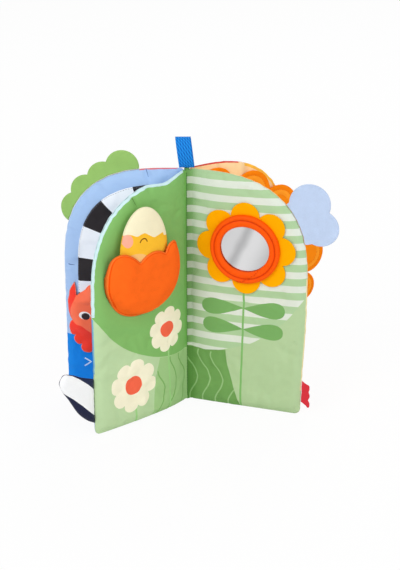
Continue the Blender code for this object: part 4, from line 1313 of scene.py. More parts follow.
def build_ring():
    """Turn the profile round the mirror, point by point."""
    u, w, v, flat = [], [], [], []
    gather = np.random.default_rng(31).uniform(0.7, 1.3, RING_STEPS)
    for k in range(RING_STEPS):
        way = math.tau * k / RING_STEPS
        for n, (r, h) in enumerate(ring_profile):
            share = (r - RING_INNER) / (RING_OUTER - RING_INNER)
            lift = 0.0
            if n < len(ring_shares) and h > 0.0004:
                gathers = k * math.tau * RING_GATHERS / RING_STEPS + 2.0 * math.sin(k * 0.21)
                pucker = math.sin(gathers) * gather[k]
                near_groove = math.exp(-((share - GROOVE_SHARE) / 0.16) ** 2)
                near_groove += 0.5 * math.exp(-(share / 0.12) ** 2)
                lift = GATHER_HEIGHT * pucker * near_groove + ring_lap(way, share)
            drop = INNER_DROP * (1.0 - min(share, 1.0)) if n < len(ring_shares) else 0.0
            u.append(FLOWER.x + r * math.cos(way))
            v.append(FLOWER.y + (r - drop) * math.sin(way))
            w.append(-(RING_LEVEL + h + lift))
            flat.append((way * RING_INNER * 1.2, n * 0.0008))
    count = len(ring_profile)
    faces, colours = [], []
    for k in range(RING_STEPS):
        after = (k + 1) % RING_STEPS
        for n in range(count):
            m = (n + 1) % count
            a, b, c, d = k * count + n, k * count + m, after * count + m, after * count + n
            faces += [(a, b, c), (a, c, d)]
            share = (ring_profile[n][0] + ring_profile[m][0]) / 2 - RING_INNER
            share /= RING_OUTER - RING_INNER
            # Painted shade: faces near the groove, and a band just before the lap, blend towards the darker
            # orange.
            near = math.exp(-((share - GROOVE_SHARE) / 0.05) ** 2)
            if LAP_SHADOW < past_lap(math.tau * (k + 0.5) / RING_STEPS, share) < 0.0:
                near = 0.8
            colours += [linear([a + (b - a) * near for a, b in zip(RING_ORANGE, GROOVE_SHADE_ORANGE)])] * 2
    places = to_world(STRIPED, u, w, v)
    mesh = sheet_mesh("mirror_ring_satin", places, np.array(faces), np.array(flat), np.array(colours))
    return show("mirror_ring_satin", reshaped(mesh, outward), SATIN_ORANGE)


ring = build_ring()
print("ring faces:", len(ring.data.polygons))

# %% [markdown]
# The tulip is a pocket of thick orange plush, sewn to the page along its sides
# and foot and open at the top. A line of stitching runs just inside its edge and
# pulls a groove into it, and the egg toy inside makes it bulge.

# %% Tulip pocket
TULIP_CENTRE = Vector((PAGE_WIDTH * 0.550, PAGE_HEIGHT * 0.610))
TULIP_WIDTH = 0.072
TULIP_HEIGHT = 0.054
TULIP_PLUSH = 0.0014
TULIP_SHOULDER = 0.020
EGG_HALF_DEPTH = 0.0056
STITCH_INSET = 0.0015
TULIP_SHARES = [
    (0.32, 0.56), (0.41, 0.55), (0.47, 0.45), (0.50, 0.20), (0.49, -0.02), (0.43, -0.21), (0.33, -0.39),
    (0.19, -0.495), (0.01, -0.525), (-0.19, -0.465), (-0.355, -0.325), (-0.455, -0.11), (-0.485, 0.15),
    (-0.44, 0.315), (-0.385, 0.44), (-0.355, 0.53), (-0.305, 0.575), (-0.245, 0.55), (-0.21, 0.49),
    (-0.19, 0.43), (-0.12, 0.48), (-0.03, 0.495), (0.06, 0.46), (0.14, 0.385), (0.215, 0.48),
]
ORANGE_PLUSH = felt_finish("orange_plush_look", None, 0.6, 1300.0, 0.9, 0.6, 0.0004, 0.06)
tulip_line = spaced(drawn_from(TULIP_SHARES, TULIP_CENTRE, TULIP_WIDTH, TULIP_HEIGHT, corners=(19, 23)))


def tulip_low(points, away):
    """The pocket's inside: flat at the seam, bulging over the egg."""
    radius = TULIP_WIDTH / 2
    cup = TULIP_CENTRE.y - TULIP_HEIGHT / 2 + radius
    down = np.minimum(points[:, 1] - cup, 0.0)
    off = np.hypot(points[:, 0] - TULIP_CENTRE.x, down)
    bulge = (2 * EGG_HALF_DEPTH + 2 * GAP) * shoulder(radius - off, TULIP_SHOULDER)
    return spine_taper(points[:, 0]) + GAP + bulge


def tulip_high(points, away):
    """The plush outside, with a groove where the stitching pulls it in."""
    groove = 0.0006 * np.exp(-((away - STITCH_INSET) / 0.0006) ** 2)
    full = 0.0007 * shoulder(away - STITCH_INSET, 0.006)
    soft = 0.00025 * smooth_noise(points, 0.017, 71) * share_of(away, 0.006)
    edge = 0.3 + 0.7 * shoulder(away, 0.0007)
    return tulip_low(points, away) + TULIP_PLUSH * edge - groove * (away > 0) + full + soft


# The plush is one orange. A darker band at the stitched groove is painted shade, and the lighter ground that
# shows only in the thin rim outside it is a painted highlight.
tulip_groove_shade_and_rim_highlight = [Print(moved_in(tulip_line, STITCH_INSET - 0.0003), (240, 78, 2)),
                Print(moved_in(tulip_line, STITCH_INSET + 0.0003), (255, 106, 28))]
tulip = slab("tulip_pocket_plush", GREEN, tulip_line, tulip_low, tulip_high, ORANGE_PLUSH,
             (255, 118, 44), tulip_groove_shade_and_rim_highlight)

# %% [markdown]
# The egg toy is stuffed plush: cream shell above a wavy edge, yellow below, a
# small arc for a closed eye and a blush at the side. The back has no face. Its
# two halves meet in a seam that shows as a thin pale rim.

# %% Egg toy
EGG = Vector((PAGE_WIDTH * 0.570, PAGE_HEIGHT * 0.750))
EGG_HALF_WIDTH = 0.0225
EGG_HALF_HEIGHT = 0.034
EGG_TAPER = 0.04
EGG_LEVEL = LEAF_HALF + GAP + EGG_HALF_DEPTH
PLUSH = felt_finish("printed_plush_look", None, 0.22, 1400.0, 0.95, 0.5, 0.0004, 0.06)
turns = np.linspace(0, math.tau, 110, endpoint=False)
egg_line = np.column_stack([EGG.x + EGG_HALF_WIDTH * np.cos(turns) * (1 - EGG_TAPER * np.sin(turns)),
                            EGG.y + EGG_HALF_HEIGHT * np.sin(turns)])


def on_egg(leaf, u, w, v):
    """The egg is stiffly filled, so it stays straight where the page bends."""
    base = to_world(leaf, [EGG.x], [EGG_LEVEL], [EGG.y])[0]
    ahead = to_world(leaf, [EGG.x], [EGG_LEVEL + 0.001], [EGG.y])[0] - base
    out = ahead[:2] / np.linalg.norm(ahead[:2])
    right = np.array([out[1], -out[0]])
    du = np.asarray(u) - EGG.x
    return np.column_stack([
        base[0] + du * right[0] + np.asarray(w) * out[0], base[1] + du * right[1] + np.asarray(w) * out[1], v
    ])


def egg_swell(points):
    """Height of the filling, as a share: round over the whole egg."""
    narrow = 1 - EGG_TAPER * (points[:, 1] - EGG.y) / EGG_HALF_HEIGHT
    r = np.hypot((points[:, 0] - EGG.x) / EGG_HALF_WIDTH / narrow, (points[:, 1] - EGG.y) / EGG_HALF_HEIGHT)
    return np.sqrt(np.clip(1 - r**2, 0, 1))


def egg_half(name, side, colour, prints):
    """One stuffed half of the egg, whose rim is the seam."""
    def high(points, away):
        soft = 0.0002 * smooth_noise(points, 0.02, 81) * share_of(away, 0.006)
        return side * (0.00025 + EGG_HALF_DEPTH * egg_swell(points) + soft)

    return slab(name, GREEN, egg_line, seam_face(side), high, PLUSH, colour, prints, place=on_egg)


CREAM, YOLK, PEACH = (247, 238, 202), (252, 192, 52), (252, 196, 120)
BLUSH, BROWN = (250, 176, 150), (112, 62, 22)
SHELL_WAVE = [
    (0.0400, 0.0150), (0.0198, 0.0155), (0.0176, 0.0164), (0.0142, 0.0157), (0.0098, 0.0138),
    (0.0062, 0.0147), (0.0023, 0.0149), (-0.0020, 0.0122), (-0.0064, 0.0099), (-0.0112, 0.0106),
    (-0.0160, 0.0111), (-0.0191, 0.0080), (-0.0400, 0.0060),
]
EYELID = [(0.0076, 0.0084), (0.0063, 0.0103), (0.0042, 0.0110), (0.0021, 0.0103), (0.0008, 0.0080)]
shell_edge = drawn_from(SHELL_WAVE, EGG, 1.0, 1.0, False, parts=6)
yolk_part = np.vstack([shell_edge, [[EGG.x - 0.04, EGG.y - 0.04], [EGG.x + 0.04, EGG.y - 0.04]]])
egg_prints = [Print(spaced(yolk_part), YOLK),
              Print(disc(EGG.x + 0.0175, EGG.y + 0.0112, 0.0040, 0.0052, sides=24), BLUSH),
              Print(disc(EGG.x + 0.0100, EGG.y - 0.0062, 0.0105, 0.0062, 0.15, sides=40), PEACH)]
lid_line = drawn_from(EYELID, EGG, 1.0, 1.0, False, parts=4)
egg_prints.append(Print(band(lid_line, 0.0009), BROWN))
egg_front = egg_half("egg_front_plush", 1.0, CREAM, egg_prints)
egg_back = egg_half("egg_back_plush", -1.0, CREAM, egg_prints[:1])

# %% [markdown]
# The pages behind the middle spread are mostly hidden, and their edges show as
# thin slips of colour. The sea pages have sky, a band of deep water and small
# white wave marks. The garden page and the peach page are plain with a soft
# border, and both covers are red cloth outside.

# %% Sea pages
SKY, PALE_SKY, FOAM = (168, 198, 239), (214, 238, 243), (215, 232, 250)
WATER, BRIGHT_WATER = (12, 118, 214), (6, 134, 230)


def wave_marks(rows, left, right, pitch):
    """Rows of small white chevrons for waves."""
    marks = []
    for n, v in enumerate(rows):
        for u in np.arange(left + (n % 2) * pitch / 2, right, pitch):
            line = [(u + 0.0028, v + 0.0034), (u - 0.0026, v + 0.0003), (u + 0.0030, v - 0.0036)]
            marks.append(Print(band(spaced(line, 0.0012, False), 0.0011), FOAM))
    return marks


def water_to(level, swing, colour):
    """Deep water up to a softly waving line."""
    u = np.arange(-0.005, 0.112, 0.0018)
    line = np.column_stack([u, level + swing * np.sin(u * math.tau / 0.034)])
    return Print(below(line[::-1]), colour)


sea_prints = [water_to(0.1008, 0.0010, WATER)] + wave_marks((0.020, 0.040, 0.060, 0.080), 0.012, 0.094, 0.020)
sea_page = page_cloth("sea_page_cloth", GREEN, -1.0, PALE_SKY, sea_prints)
cover_sea_prints = [water_to(0.0550, 0.0, BRIGHT_WATER)] + wave_marks((0.014, 0.031), 0.0055, 0.088, 0.017)
cover_sea_prints.append(rolled_edge(0.0006, (220, 108, 120), first=0.006, last=0.038, low=0.15))
FISH_SPOT = Held(0.074, 0.069, 0.020)
LEFT_CREASES = (((0.0322, 0.1998), -1.88, 0.014, 0.0018, 0.0034), ((0.100, 0.1162),
                3.14, 0.010, 0.0018, 0.0018), ((0.0760, 0.1860), -2.3, 0.020, 0.0026, 0.0020))
# Painted shadow lines in two creases of the cover.
cover_sea_prints.append(crease_shadow_line((0.0320, 0.1990), -1.88, 0.0065, (112, 138, 186)))
cover_sea_prints.append(crease_shadow_line((0.0965, 0.1162), 3.14, 0.0055, (70, 96, 150)))
left_inner = page_cloth("left_cover_inner_cloth", LEFT, 1.0, SKY, cover_sea_prints, (FISH_SPOT,),
                        LEFT_CREASES)

# %% Garden page, peach page and covers
SAND, SUNNY, PEACH_CLOTH, RED = (255, 229, 172), (240, 214, 120), (255, 218, 164), (206, 38, 40)
garden_prints = [Print(spaced(below(curved(HILL_LINE, False))), SUNNY)]
garden_page = page_cloth("garden_page_cloth", STRIPED, 1.0, SAND, garden_prints)
MIDDLE_SPOT = Held(0.064, 0.104, 0.030)
peach_prints = [rolled_edge(0.0022, (255, 192, 66), low=0.006, first=0.054),
                rolled_edge(0.0008, (222, 66, 46), low=0.15, last=0.050)]
RIGHT_CREASES = (((0.030, 0.199), -1.4, 0.016, 0.0022, 0.0020), ((0.060, 0.1955),
                 -1.9, 0.018, 0.0024, 0.0018))
right_inner = page_cloth("right_cover_inner_cloth", RIGHT, -1.0, PEACH_CLOTH, peach_prints, (MIDDLE_SPOT,),
                         RIGHT_CREASES)
left_outer = page_cloth("left_cover_outer_cloth", LEFT, -1.0, RED, [])
right_outer = page_cloth("right_cover_outer_cloth", RIGHT, 1.0, RED, [])

# %% [markdown]
# The tabs are for small hands to hold. Cloud and bush are thick cut felt sewn
# into the outer seams, the tail is two satin faces with a little filling, and
# the label is a folded slip of red cloth, here left plain.

# %% Felt tabs
FELT = 0.0018
LOBE_RADIUS = 0.0150
CLOUD_LOBES = ((1.000, 0.900, 1.10), (1.090, 0.808, 0.98), (0.960, 0.830, 1.27))
BUSH_LOBES = ((0.880, 0.820, 0.90), (0.800, 0.895, 0.87), (0.660, 0.950, 0.90), (0.510, 1.000, 0.90),
              (0.720, 0.860, 1.33))


def tab_line(lobes):
    """The outline of round lobes that stand out of a leaf's outer seam."""
    rounds = [disc(PAGE_WIDTH * a, PAGE_HEIGHT * b, LOBE_RADIUS * r, sides=60) for a, b, r in lobes]
    return joined(rounds, [page_outline(-GAP, -PAGE_START)])


def seam_tab(name, leaf, line, colour, curl):
    """Thick felt that curls a little away from the leaf."""
    look = felt_finish(name + "_look", colour, 0.34, 1000.0, 0.97, 0.8, 0.0006)

    def sway(points):
        away, _ = distance_to(points, SEAM_LINE)
        return curl * (away / 0.03) ** 2 + 0.0004 * smooth_noise(points, 0.03, 91)

    def face(side):
        return lambda points, away: sway(points) + side * FELT / 2 * (0.4 + 0.6 * shoulder(away, 0.0005))

    return slab(name, leaf, line, face(-1.0), face(1.0), look)


cloud_line, bush_line = tab_line(CLOUD_LOBES), tab_line(BUSH_LOBES)
cloud = seam_tab("cloud_tab_felt", STRIPED, cloud_line, (192, 210, 239), 0.0012)
bush = seam_tab("bush_tab_felt", LEFT, bush_line, (156, 198, 110), -0.0010)

# %% Tail tab
TAIL_LENGTH = 0.031
TAIL_HEIGHT = 0.049
TAIL_FOOT = 0.011
TAIL_HALF = 0.0028
TAIL_SHOULDER = 0.007
TAIL_SHARES = [(0.0, 0.0), (0.22, 0.09), (0.48, 0.26), (0.75, 0.55), (0.92, 0.72), (1.0, 0.88), (0.86, 1.0),
               (0.62, 0.96), (0.32, 0.86), (0.0, 0.78)]
TAIL_MIDDLE, TAIL_PUCKERS, TAIL_PUCKER = (0.112, 0.035), 26, 0.00015
TAIL_SEAM = 0.2 * EDGE_HALF
tab_start = PAGE_WIDTH + GAP
tail_line = spaced(drawn_from(TAIL_SHARES, (tab_start, TAIL_FOOT), TAIL_LENGTH, TAIL_HEIGHT,
                              corners=(0, 9), parts=10))
SATIN_PRINT = woven_finish("printed_satin_look", None, SATIN_THREADS, 0.10, 0.45, 0.25, shine=0.25)
NAVY, NIGHT, WHITE = (16, 28, 66), (12, 20, 58), (248, 249, 251)


def tail_face(name, side, colour, prints):
    """One stuffed face of the tail, gathered along its rim."""
    def high(points, away):
        pucker = TAIL_PUCKER * round_puckers(points, TAIL_MIDDLE, TAIL_PUCKERS, away, 0.002)
        swell = TAIL_SEAM + (TAIL_HALF - TAIL_SEAM) * shoulder(away, TAIL_SHOULDER)
        return side * (swell + pucker * (away > 0))

    return slab(name, GREEN, tail_line, seam_face(side), high, SATIN_PRINT, colour, prints)


NAVY_TOP = [(0.094, 0.070), (0.094, 0.0352), (0.0998, 0.0402), (0.1070, 0.0475), (0.1143, 0.0538),
            (0.1200, 0.0578), (0.1262, 0.0605), (0.1262, 0.070)]
NAVY_LOW = [(0.094, 0.0), (0.094, 0.0125), (0.0982, 0.0160), (0.1050, 0.0225), (0.1127, 0.0308),
            (0.1205, 0.0385), (0.1283, 0.0452), (0.136, 0.050), (0.136, 0.0)]
tail_prints = [Print(spaced(NAVY_TOP), NAVY), Print(spaced(NAVY_LOW), NIGHT)]
tail_front = tail_face("tail_front_satin", 1.0, WHITE, tail_prints)
tail_back = tail_face("tail_back_satin", -1.0, NAVY, [])

# %% Label
LABEL_LENGTH, LABEL_HEIGHT, LABEL_FOOT, LABEL_CLOTH, LABEL_STEP = 0.0075, 0.0235, 0.0065, 0.0009, 0.0009
LABEL_SHARES = [(0.0, 0.20), (0.55, 0.08), (0.82, 0.0), (1.0, 0.05), (1.0, 0.19), (0.84, 0.29), (0.98, 0.40),
                (0.95, 0.50), (0.82, 0.60), (0.93, 0.70), (0.86, 0.84), (0.42, 0.91), (0.0, 1.0)]
label_line = drawn_from(LABEL_SHARES, (tab_start, LABEL_FOOT), LABEL_LENGTH, LABEL_HEIGHT,
                        corners=(0, 12), parts=4)
label_line = spaced(label_line, LABEL_STEP)
RED_CLOTH = woven_finish("red_label_look", (216, 46, 60), 3600.0, 0.12, 0.55, 0.4, 0.1)


def label_face(side):
    """Half of the folded slip, rounded over at the fold."""
    def half(points, away):
        fold = shoulder(tab_start + LABEL_LENGTH - points[:, 0], 0.0009)
        return side * (LABEL_CLOTH / 2 * (0.35 + 0.65 * fold))

    return half


label = slab("edge_label_cloth", STRIPED, label_line, label_face(-1.0), label_face(1.0), RED_CLOTH,
             step=LABEL_STEP)

# %% [markdown]
# On the left cover a black and white satin arch follows the page's edge, and a
# padded red fish swims under it.

# %% Striped arch
BAND_OUTSET, BAND_WIDTH, BAND_SATIN, BAND_START, BAND_FOOT = 0.012, 0.021, 0.0012, 0.027, 0.44
BARS = (0.0065, 0.0105, 0.0190, 0.0250, 0.0215, 0.0230, 0.0215, 0.0230, 0.0215)
BAR_STEP, BAR_HALF, BAR_BLACK = 0.001, 0.014, (30, 24, 28)
arch_outer = page_outline(BAND_OUTSET, BAND_START)
arch_inner = page_outline(BAND_OUTSET + BAND_WIDTH, -PAGE_START)
arch_foot = PAGE_HEIGHT * BAND_FOOT
under = spaced([(-0.01, -0.01), (0.2, -0.01), (0.2, arch_foot), (-0.01, arch_foot)])
arch_line = joined([arch_outer], [arch_inner, under])


def arch_bars():
    """Black bars across the arch, square to its run."""
    path = page_outline(BAND_OUTSET + BAND_WIDTH / 2, BAND_START)
    upper = path[(path[:, 1] > arch_foot - 0.002) & (path[:, 0] > BAND_START + 0.0005)]
    start = np.argmin(upper[:, 1])
    upper = np.roll(upper, -start, axis=0)
    gaps = np.linalg.norm(np.diff(upper, axis=0), axis=1)
    run = np.concatenate([[0.0], np.cumsum(gaps)])

    def at(s):
        return np.array([np.interp(s, run, upper[:, 0]), np.interp(s, run, upper[:, 1])])

    bars = []
    ends = np.concatenate([[0.0], np.cumsum(BARS)])
    for k in range(0, len(BARS), 2):
        if ends[k] > run[-1] - BAR_STEP:
            break
        edges = []
        for s in np.minimum(ends[k:k + 2], run[-1]):
            p, q = at(s), at(s + BAR_STEP)
            if s + BAR_STEP > run[-1]:
                q = p + (p - at(s - BAR_STEP))
            t = (q - p) / max(np.linalg.norm(q - p), 1e-9)
            out = np.array([t[1], -t[0]])
            edges.append((p - out * BAR_HALF, p + out * BAR_HALF))
        bars.append(Print(spaced([edges[0][0], edges[0][1], edges[1][1], edges[1][0]]), BAR_BLACK))
    return bars


def band_wave(points):
    """The satin follows the folds of the page that it is sewn to."""
    return cloth_folds(LEFT, 1.0, points, (FISH_SPOT,), LEFT_CREASES)


arch_low, arch_high = felt_faces(1.0, BAND_SATIN, band_wave, 0.0012)
arch = slab("striped_arch_satin", LEFT, arch_line, arch_low, arch_high, SATIN_PRINT, (246, 249, 255),
            arch_bars())

# %% Fish
FISH = Vector((PAGE_WIDTH * 0.740, PAGE_HEIGHT * 0.355))
FISH_LENGTH, FISH_HEIGHT, FISH_PADDING, FISH_SHOULDER = 0.050, 0.064, 0.0050, 0.009
FISH_SHARES = [(0.340, 0.492), (0.410, 0.409), (0.444, 0.336), (0.472, 0.219), (0.470, 0.081),
               (0.436, -0.008), (0.404, -0.042), (0.450, -0.086), (0.464, -0.164), (0.424, -0.241),
               (0.358, -0.247), (0.384, -0.289), (0.362, -0.348), (0.306, -0.378), (0.256, -0.369),
               (0.268, -0.422), (0.230, -0.472), (0.164, -0.487), (0.090, -0.472), (-0.04, -0.375),
               (-0.16, -0.30), (-0.32, -0.33), (-0.48, -0.375), (-0.41, -0.17), (-0.48, 0.05),
               (-0.32, 0.06), (-0.20, 0.14), (-0.08, 0.33), (0.07, 0.46), (0.18, 0.385), (0.25, 0.35),
               (0.31, 0.31), (0.32, 0.40)]
FISH_FACE = [(0.0893, 0.0920), (0.0919, 0.0860), (0.0947, 0.0797), (0.0955, 0.0737), (0.0943, 0.0684),
             (0.0905, 0.0657), (0.0854, 0.0650), (0.0775, 0.0592), (0.0680, 0.0570), (0.0610, 0.0800),
             (0.0680, 0.1000), (0.0780, 0.1035), (0.0850, 0.0975)]
FISH_PUCKERS, FISH_PUCKER = 30, 0.00012
fish_line = spaced(drawn_from(FISH_SHARES, FISH, FISH_LENGTH, FISH_HEIGHT,
                              corners=(0, 6, 10, 14, 23, 31), parts=6))
# The body's red is printed inside a thin rim. The pale ground colour that is left in the rim is a painted
# highlight along the edge.
fish_prints = [
    Print(moved_in(fish_line, 0.0005), (250, 52, 32)), Print(curved(FISH_FACE, parts=6), (255, 112, 74)),
    Print(disc(0.0825, 0.0748, 0.0048, 0.0035, sides=26), (248, 244, 238)),
    Print(disc(0.0817, 0.0741, 0.0035, 0.0030, sides=22), (40, 26, 32)),
]


def fish_low(points, away):
    """The fish lies on the page, and steps up where it overlaps the arch."""
    page = leaf_half(points[:, 0], points[:, 1]) + GAP + np.maximum(band_wave(points), 0.0)
    gap_to_arch = distance_to(points, arch_line)[0] * ~inside(points, arch_line)
    step_up = eased((0.004 - gap_to_arch) / 0.003)
    return page + (LEAF_HALF + GAP + BAND_SATIN + GAP - page) * step_up


def fish_high(points, away):
    """Padding that is full over the body and thin in the fins."""
    pucker = FISH_PUCKER * round_puckers(points, FISH, FISH_PUCKERS, away, 0.0022)
    swell = np.sin(share_of(away, FISH_SHOULDER) * math.pi / 2)
    body = eased((0.026 - np.hypot(points[:, 0] - 0.078, points[:, 1] - 0.077)) / 0.014)
    filling = (FISH_PADDING - CLOTH) * (0.32 + 0.68 * body) * swell
    return fish_low(points, away) + CLOTH + filling + pucker * body


fish = slab("fish_satin_cover", LEFT, fish_line, fish_low, fish_high, SATIN_PRINT, (252, 140, 118),
            fish_prints)

# %% [markdown]
# The right cover carries one large flower, whose felt petals stick out past the
# outer seam. Each petal has a stitched arc that echoes its edge.

# %% Large flower
BIG_RADIUS, BIG_START, BIG_FELT = 0.0165, 0.020, 0.0014
BIG_PETALS = [(0.250, 0.900, 1.00), (0.590, 0.840, 1.20), (0.870, 0.750, 1.25), (1.070, 0.640, 1.10),
              (1.205, 0.515, 1.00), (1.155, 0.372, 0.78), (0.960, 0.260, 1.00), (0.700, 0.185, 1.00)]
BIG_ARCS = ((0.80, 50, (255, 158, 40)), (0.58, 40, (252, 140, 16)))
big_middles = [(PAGE_WIDTH * a, PAGE_HEIGHT * b) for a, b, _ in BIG_PETALS]
big_radii = [BIG_RADIUS * c for _, _, c in BIG_PETALS]
big_body = spaced([*big_middles, (BIG_START, big_middles[-1][1]), (BIG_START, big_middles[0][1])])
strip = spaced([(-BIG_START, -BIG_START), (BIG_START, -BIG_START), (BIG_START, 0.4), (-BIG_START, 0.4)], 0.01)
big_line = joined([big_body] + [disc(*m, r, sides=58) for m, r in zip(big_middles, big_radii)], [strip])
big_prints = [Print(disc(*m, r * arc, sides=sides), colour)
              for m, r in zip(big_middles, big_radii) for arc, sides, colour in BIG_ARCS]
BIG_FELT_LOOK = felt_finish("petal_felt_look", None, 0.16, 1300.0, 0.9, 0.5, 0.0003, 0.06)
big_heart = np.array([PAGE_WIDTH * 0.640, PAGE_HEIGHT * 0.520])


def big_low(points, away):
    """The felt lies on the page's highest folds and reaches straight past its seam."""
    within = inside(points, SEAM_LINE)
    lift = np.maximum(cloth_folds(RIGHT, -1.0, points, (MIDDLE_SPOT,), RIGHT_CREASES), 0.0) * within
    return -(spine_taper(points[:, 0]) + GAP + lift)


def big_high(points, away):
    """The felt's face, with a groove along every sewn arc."""
    seam = np.full(len(points), 9.0)
    for m, r in zip(big_middles, big_radii):
        off = np.hypot(points[:, 0] - m[0], points[:, 1] - m[1])
        for arc, _, _ in BIG_ARCS:
            seam = np.minimum(seam, np.abs(off - r * arc))
    groove = 0.0007 * np.exp(-(seam / 0.0007) ** 2)
    return big_low(points, away) - BIG_FELT * (0.4 + 0.6 * shoulder(away, 0.0006)) + groove


big_petals = slab("big_petals_felt", RIGHT, big_line, big_low, big_high, BIG_FELT_LOOK, (249, 134, 12),
                  big_prints)

HEART_RADIUS, HEART_HEIGHT, HEART_PUCKERS, HEART_PUCKER = 0.027, 0.0030, 34, 0.0002
HEART_LEVEL = LEAF_HALF + GAP + BIG_FELT + GAP


def heart_low(points, away):
    return -HEART_LEVEL


def heart_high(points, away):
    """The padded middle, gathered round its rim."""
    pucker = HEART_PUCKER * round_puckers(points, big_heart, HEART_PUCKERS, away, 0.003)
    return -HEART_LEVEL - CLOTH - (HEART_HEIGHT - CLOTH) * shoulder(away, 0.010) - pucker


YELLOW_CLOTH = woven_finish("yellow_middle_look", (254, 202, 70), COTTON_THREADS, 0.12, 0.7, 0.35, 0.1)
heart_line = disc(*big_heart, HEART_RADIUS)
big_centre = slab("big_flower_middle", RIGHT, heart_line, heart_low, heart_high, YELLOW_CLOTH)

# %% [markdown]
# The spine is where all the seams are gathered and bound. Between two leaves the
# cloth of both pages runs down into a narrow valley, which opens and closes as
# the leaves turn. Each valley here is one strip, made of a slip from each page.

# %% Valleys between the leaves
VALLEY_REACH = 0.0052
VALLEY_SHORE = 0.0030
VALLEY_RADIUS = 0.00232
VALLEY_OVER, VALLEY_UNDER = 0.00022, 0.0009
WELD = 0.0001


def valley_half(leaf, side, toward, prints, ground, gutter_shade):
    """One page's slip of cloth from its surface down to the valley's floor."""
    outline = spaced([(0.0, 0.0006), (VALLEY_REACH, 0.0006), (VALLEY_REACH, 0.1988), (0.0, 0.1988)], 0.0012)
    points, triangles, which = net(outline, prints, 0.0014, rim=False)
    under = share_of(points[:, 0] - VALLEY_SHORE, VALLEY_REACH - VALLEY_SHORE)
    half = leaf_half(points[:, 0], np.clip(points[:, 1], 0.012, 0.16))
    surface_w = side * (half + VALLEY_OVER - VALLEY_UNDER * under)
    places = to_world(leaf, np.maximum(points[:, 0], 0.0), surface_w, points[:, 1])
    floor_xy = VALLEY_RADIUS * np.array([math.cos(toward), math.sin(toward)])
    shore_half = float(leaf_half(np.array([VALLEY_SHORE]), np.array([0.1]))[0])
    edge = to_world(leaf, [VALLEY_SHORE], [side * (shore_half + VALLEY_OVER)], [0.1])[0][:2]
    sunk = floor_xy + (edge - floor_xy) * share_of(points[:, 0], VALLEY_SHORE)[:, None]
    near = points[:, 0] < VALLEY_SHORE
    places[near, :2] = sunk[near]
    # Painted shade: the slip's print colours darken towards the spine.
    colours = painted_spine_shade(print_colours(which, ground, prints), points[triangles].mean(1), gutter_shade)
    return places, triangles if side < 0 else triangles[:, ::-1], points, colours


def valley(name, right, left, right_print, left_print, toward):
    """The strip of cloth in one valley, on its own mesh."""
    halves = [valley_half(leaf, side, toward, *rest)
              for leaf, (side, *rest) in ((right, right_print), (left, left_print))]
    (a_places, a_triangles, *_), (_, b_triangles, *_) = halves
    places, flat, colours = (np.vstack([half[k] for half in halves]) for k in (0, 2, 3))
    triangles = np.vstack([a_triangles, b_triangles + len(a_places)])
    mesh = sheet_mesh(name, places, triangles, flat, colours)
    mesh = reshaped(mesh, lambda shape: bmesh.ops.remove_doubles(shape, verts=shape.verts, dist=WELD))
    return show(name, mesh, PRINTED)


MIDDLE_WAY = math.radians(-95.0)
# The last number for each page is the strength of its painted shade towards the spine.
middle_valley = valley("middle_valley_cloth", STRIPED, GREEN, (-1.0, stripe_prints, STRIPE_GREEN, 1.2),
                       (1.0, green_prints, GRASS, 0.3), MIDDLE_WAY)
LEFT_WAY = math.radians((GREEN.direction + GREEN.bend + LEFT.direction + LEFT.bend) / 2.0)
left_valley = valley("left_valley_cloth", GREEN, LEFT, (-1.0, sea_prints, PALE_SKY, 0.3),
                     (1.0, cover_sea_prints, SKY, 0.3), LEFT_WAY)
RIGHT_WAY = math.radians((RIGHT.direction + STRIPED.direction) / 2.0)
right_valley = valley("right_valley_cloth", RIGHT, STRIPED, (-1.0, [], PEACH_CLOTH, 0.3),
                      (1.0, garden_prints, SAND, 0.3), RIGHT_WAY)
print("valleys:", middle_valley.name, left_valley.name, right_valley.name)

# %% [markdown]
# A loop of blue twill tape at the head of the spine hangs the book up. Its ribs
# run on a slant, as on any webbing.

# %% Carrying loop
RIB_PITCH, CROSS_PITCH, RIB_SLANT = 0.0024, 0.0020, 0.75
DEEP_BLUE, LIGHT_BLUE = (0, 84, 176), (36, 152, 240)
TAPE_WIDTH, TAPE_LENGTH, TAPE = 0.012, 0.056, 0.0010
LOOP_HEIGHT, LOOP_WIDTH, LOOP_LEAN = 0.025, 0.0120, 0.003


def webbing_look():
    """Twill tape: slanted ribs drawn from the tape's own UV map."""
    made, tree, shader = new_look("blue_webbing_look", Roughness=0.62, Specular_IOR_Level=0.12)
    where = tree.nodes.new("ShaderNodeTexCoord").outputs["UV"]
    parts = new_node(tree, "ShaderNodeSeparateXYZ", {0: where}).outputs
    slant = maths(tree, "ADD", parts[0], maths(tree, "MULTIPLY", parts[1], RIB_SLANT))
    rib = maths(tree, "SINE", maths(tree, "MULTIPLY", slant, math.tau / RIB_PITCH))
    cross = maths(tree, "SINE", maths(tree, "MULTIPLY", parts[0], math.tau / CROSS_PITCH))
    share = maths(tree, "ADD", summed(tree, rib, 0.30, cross, 0.20), 0.5)
    feed(tree, shader, {"Base Color": blended(tree, share, linear(DEEP_BLUE), linear(LIGHT_BLUE))})
    bumped(tree, shader, share, 0.6, 0.0003)
    return made


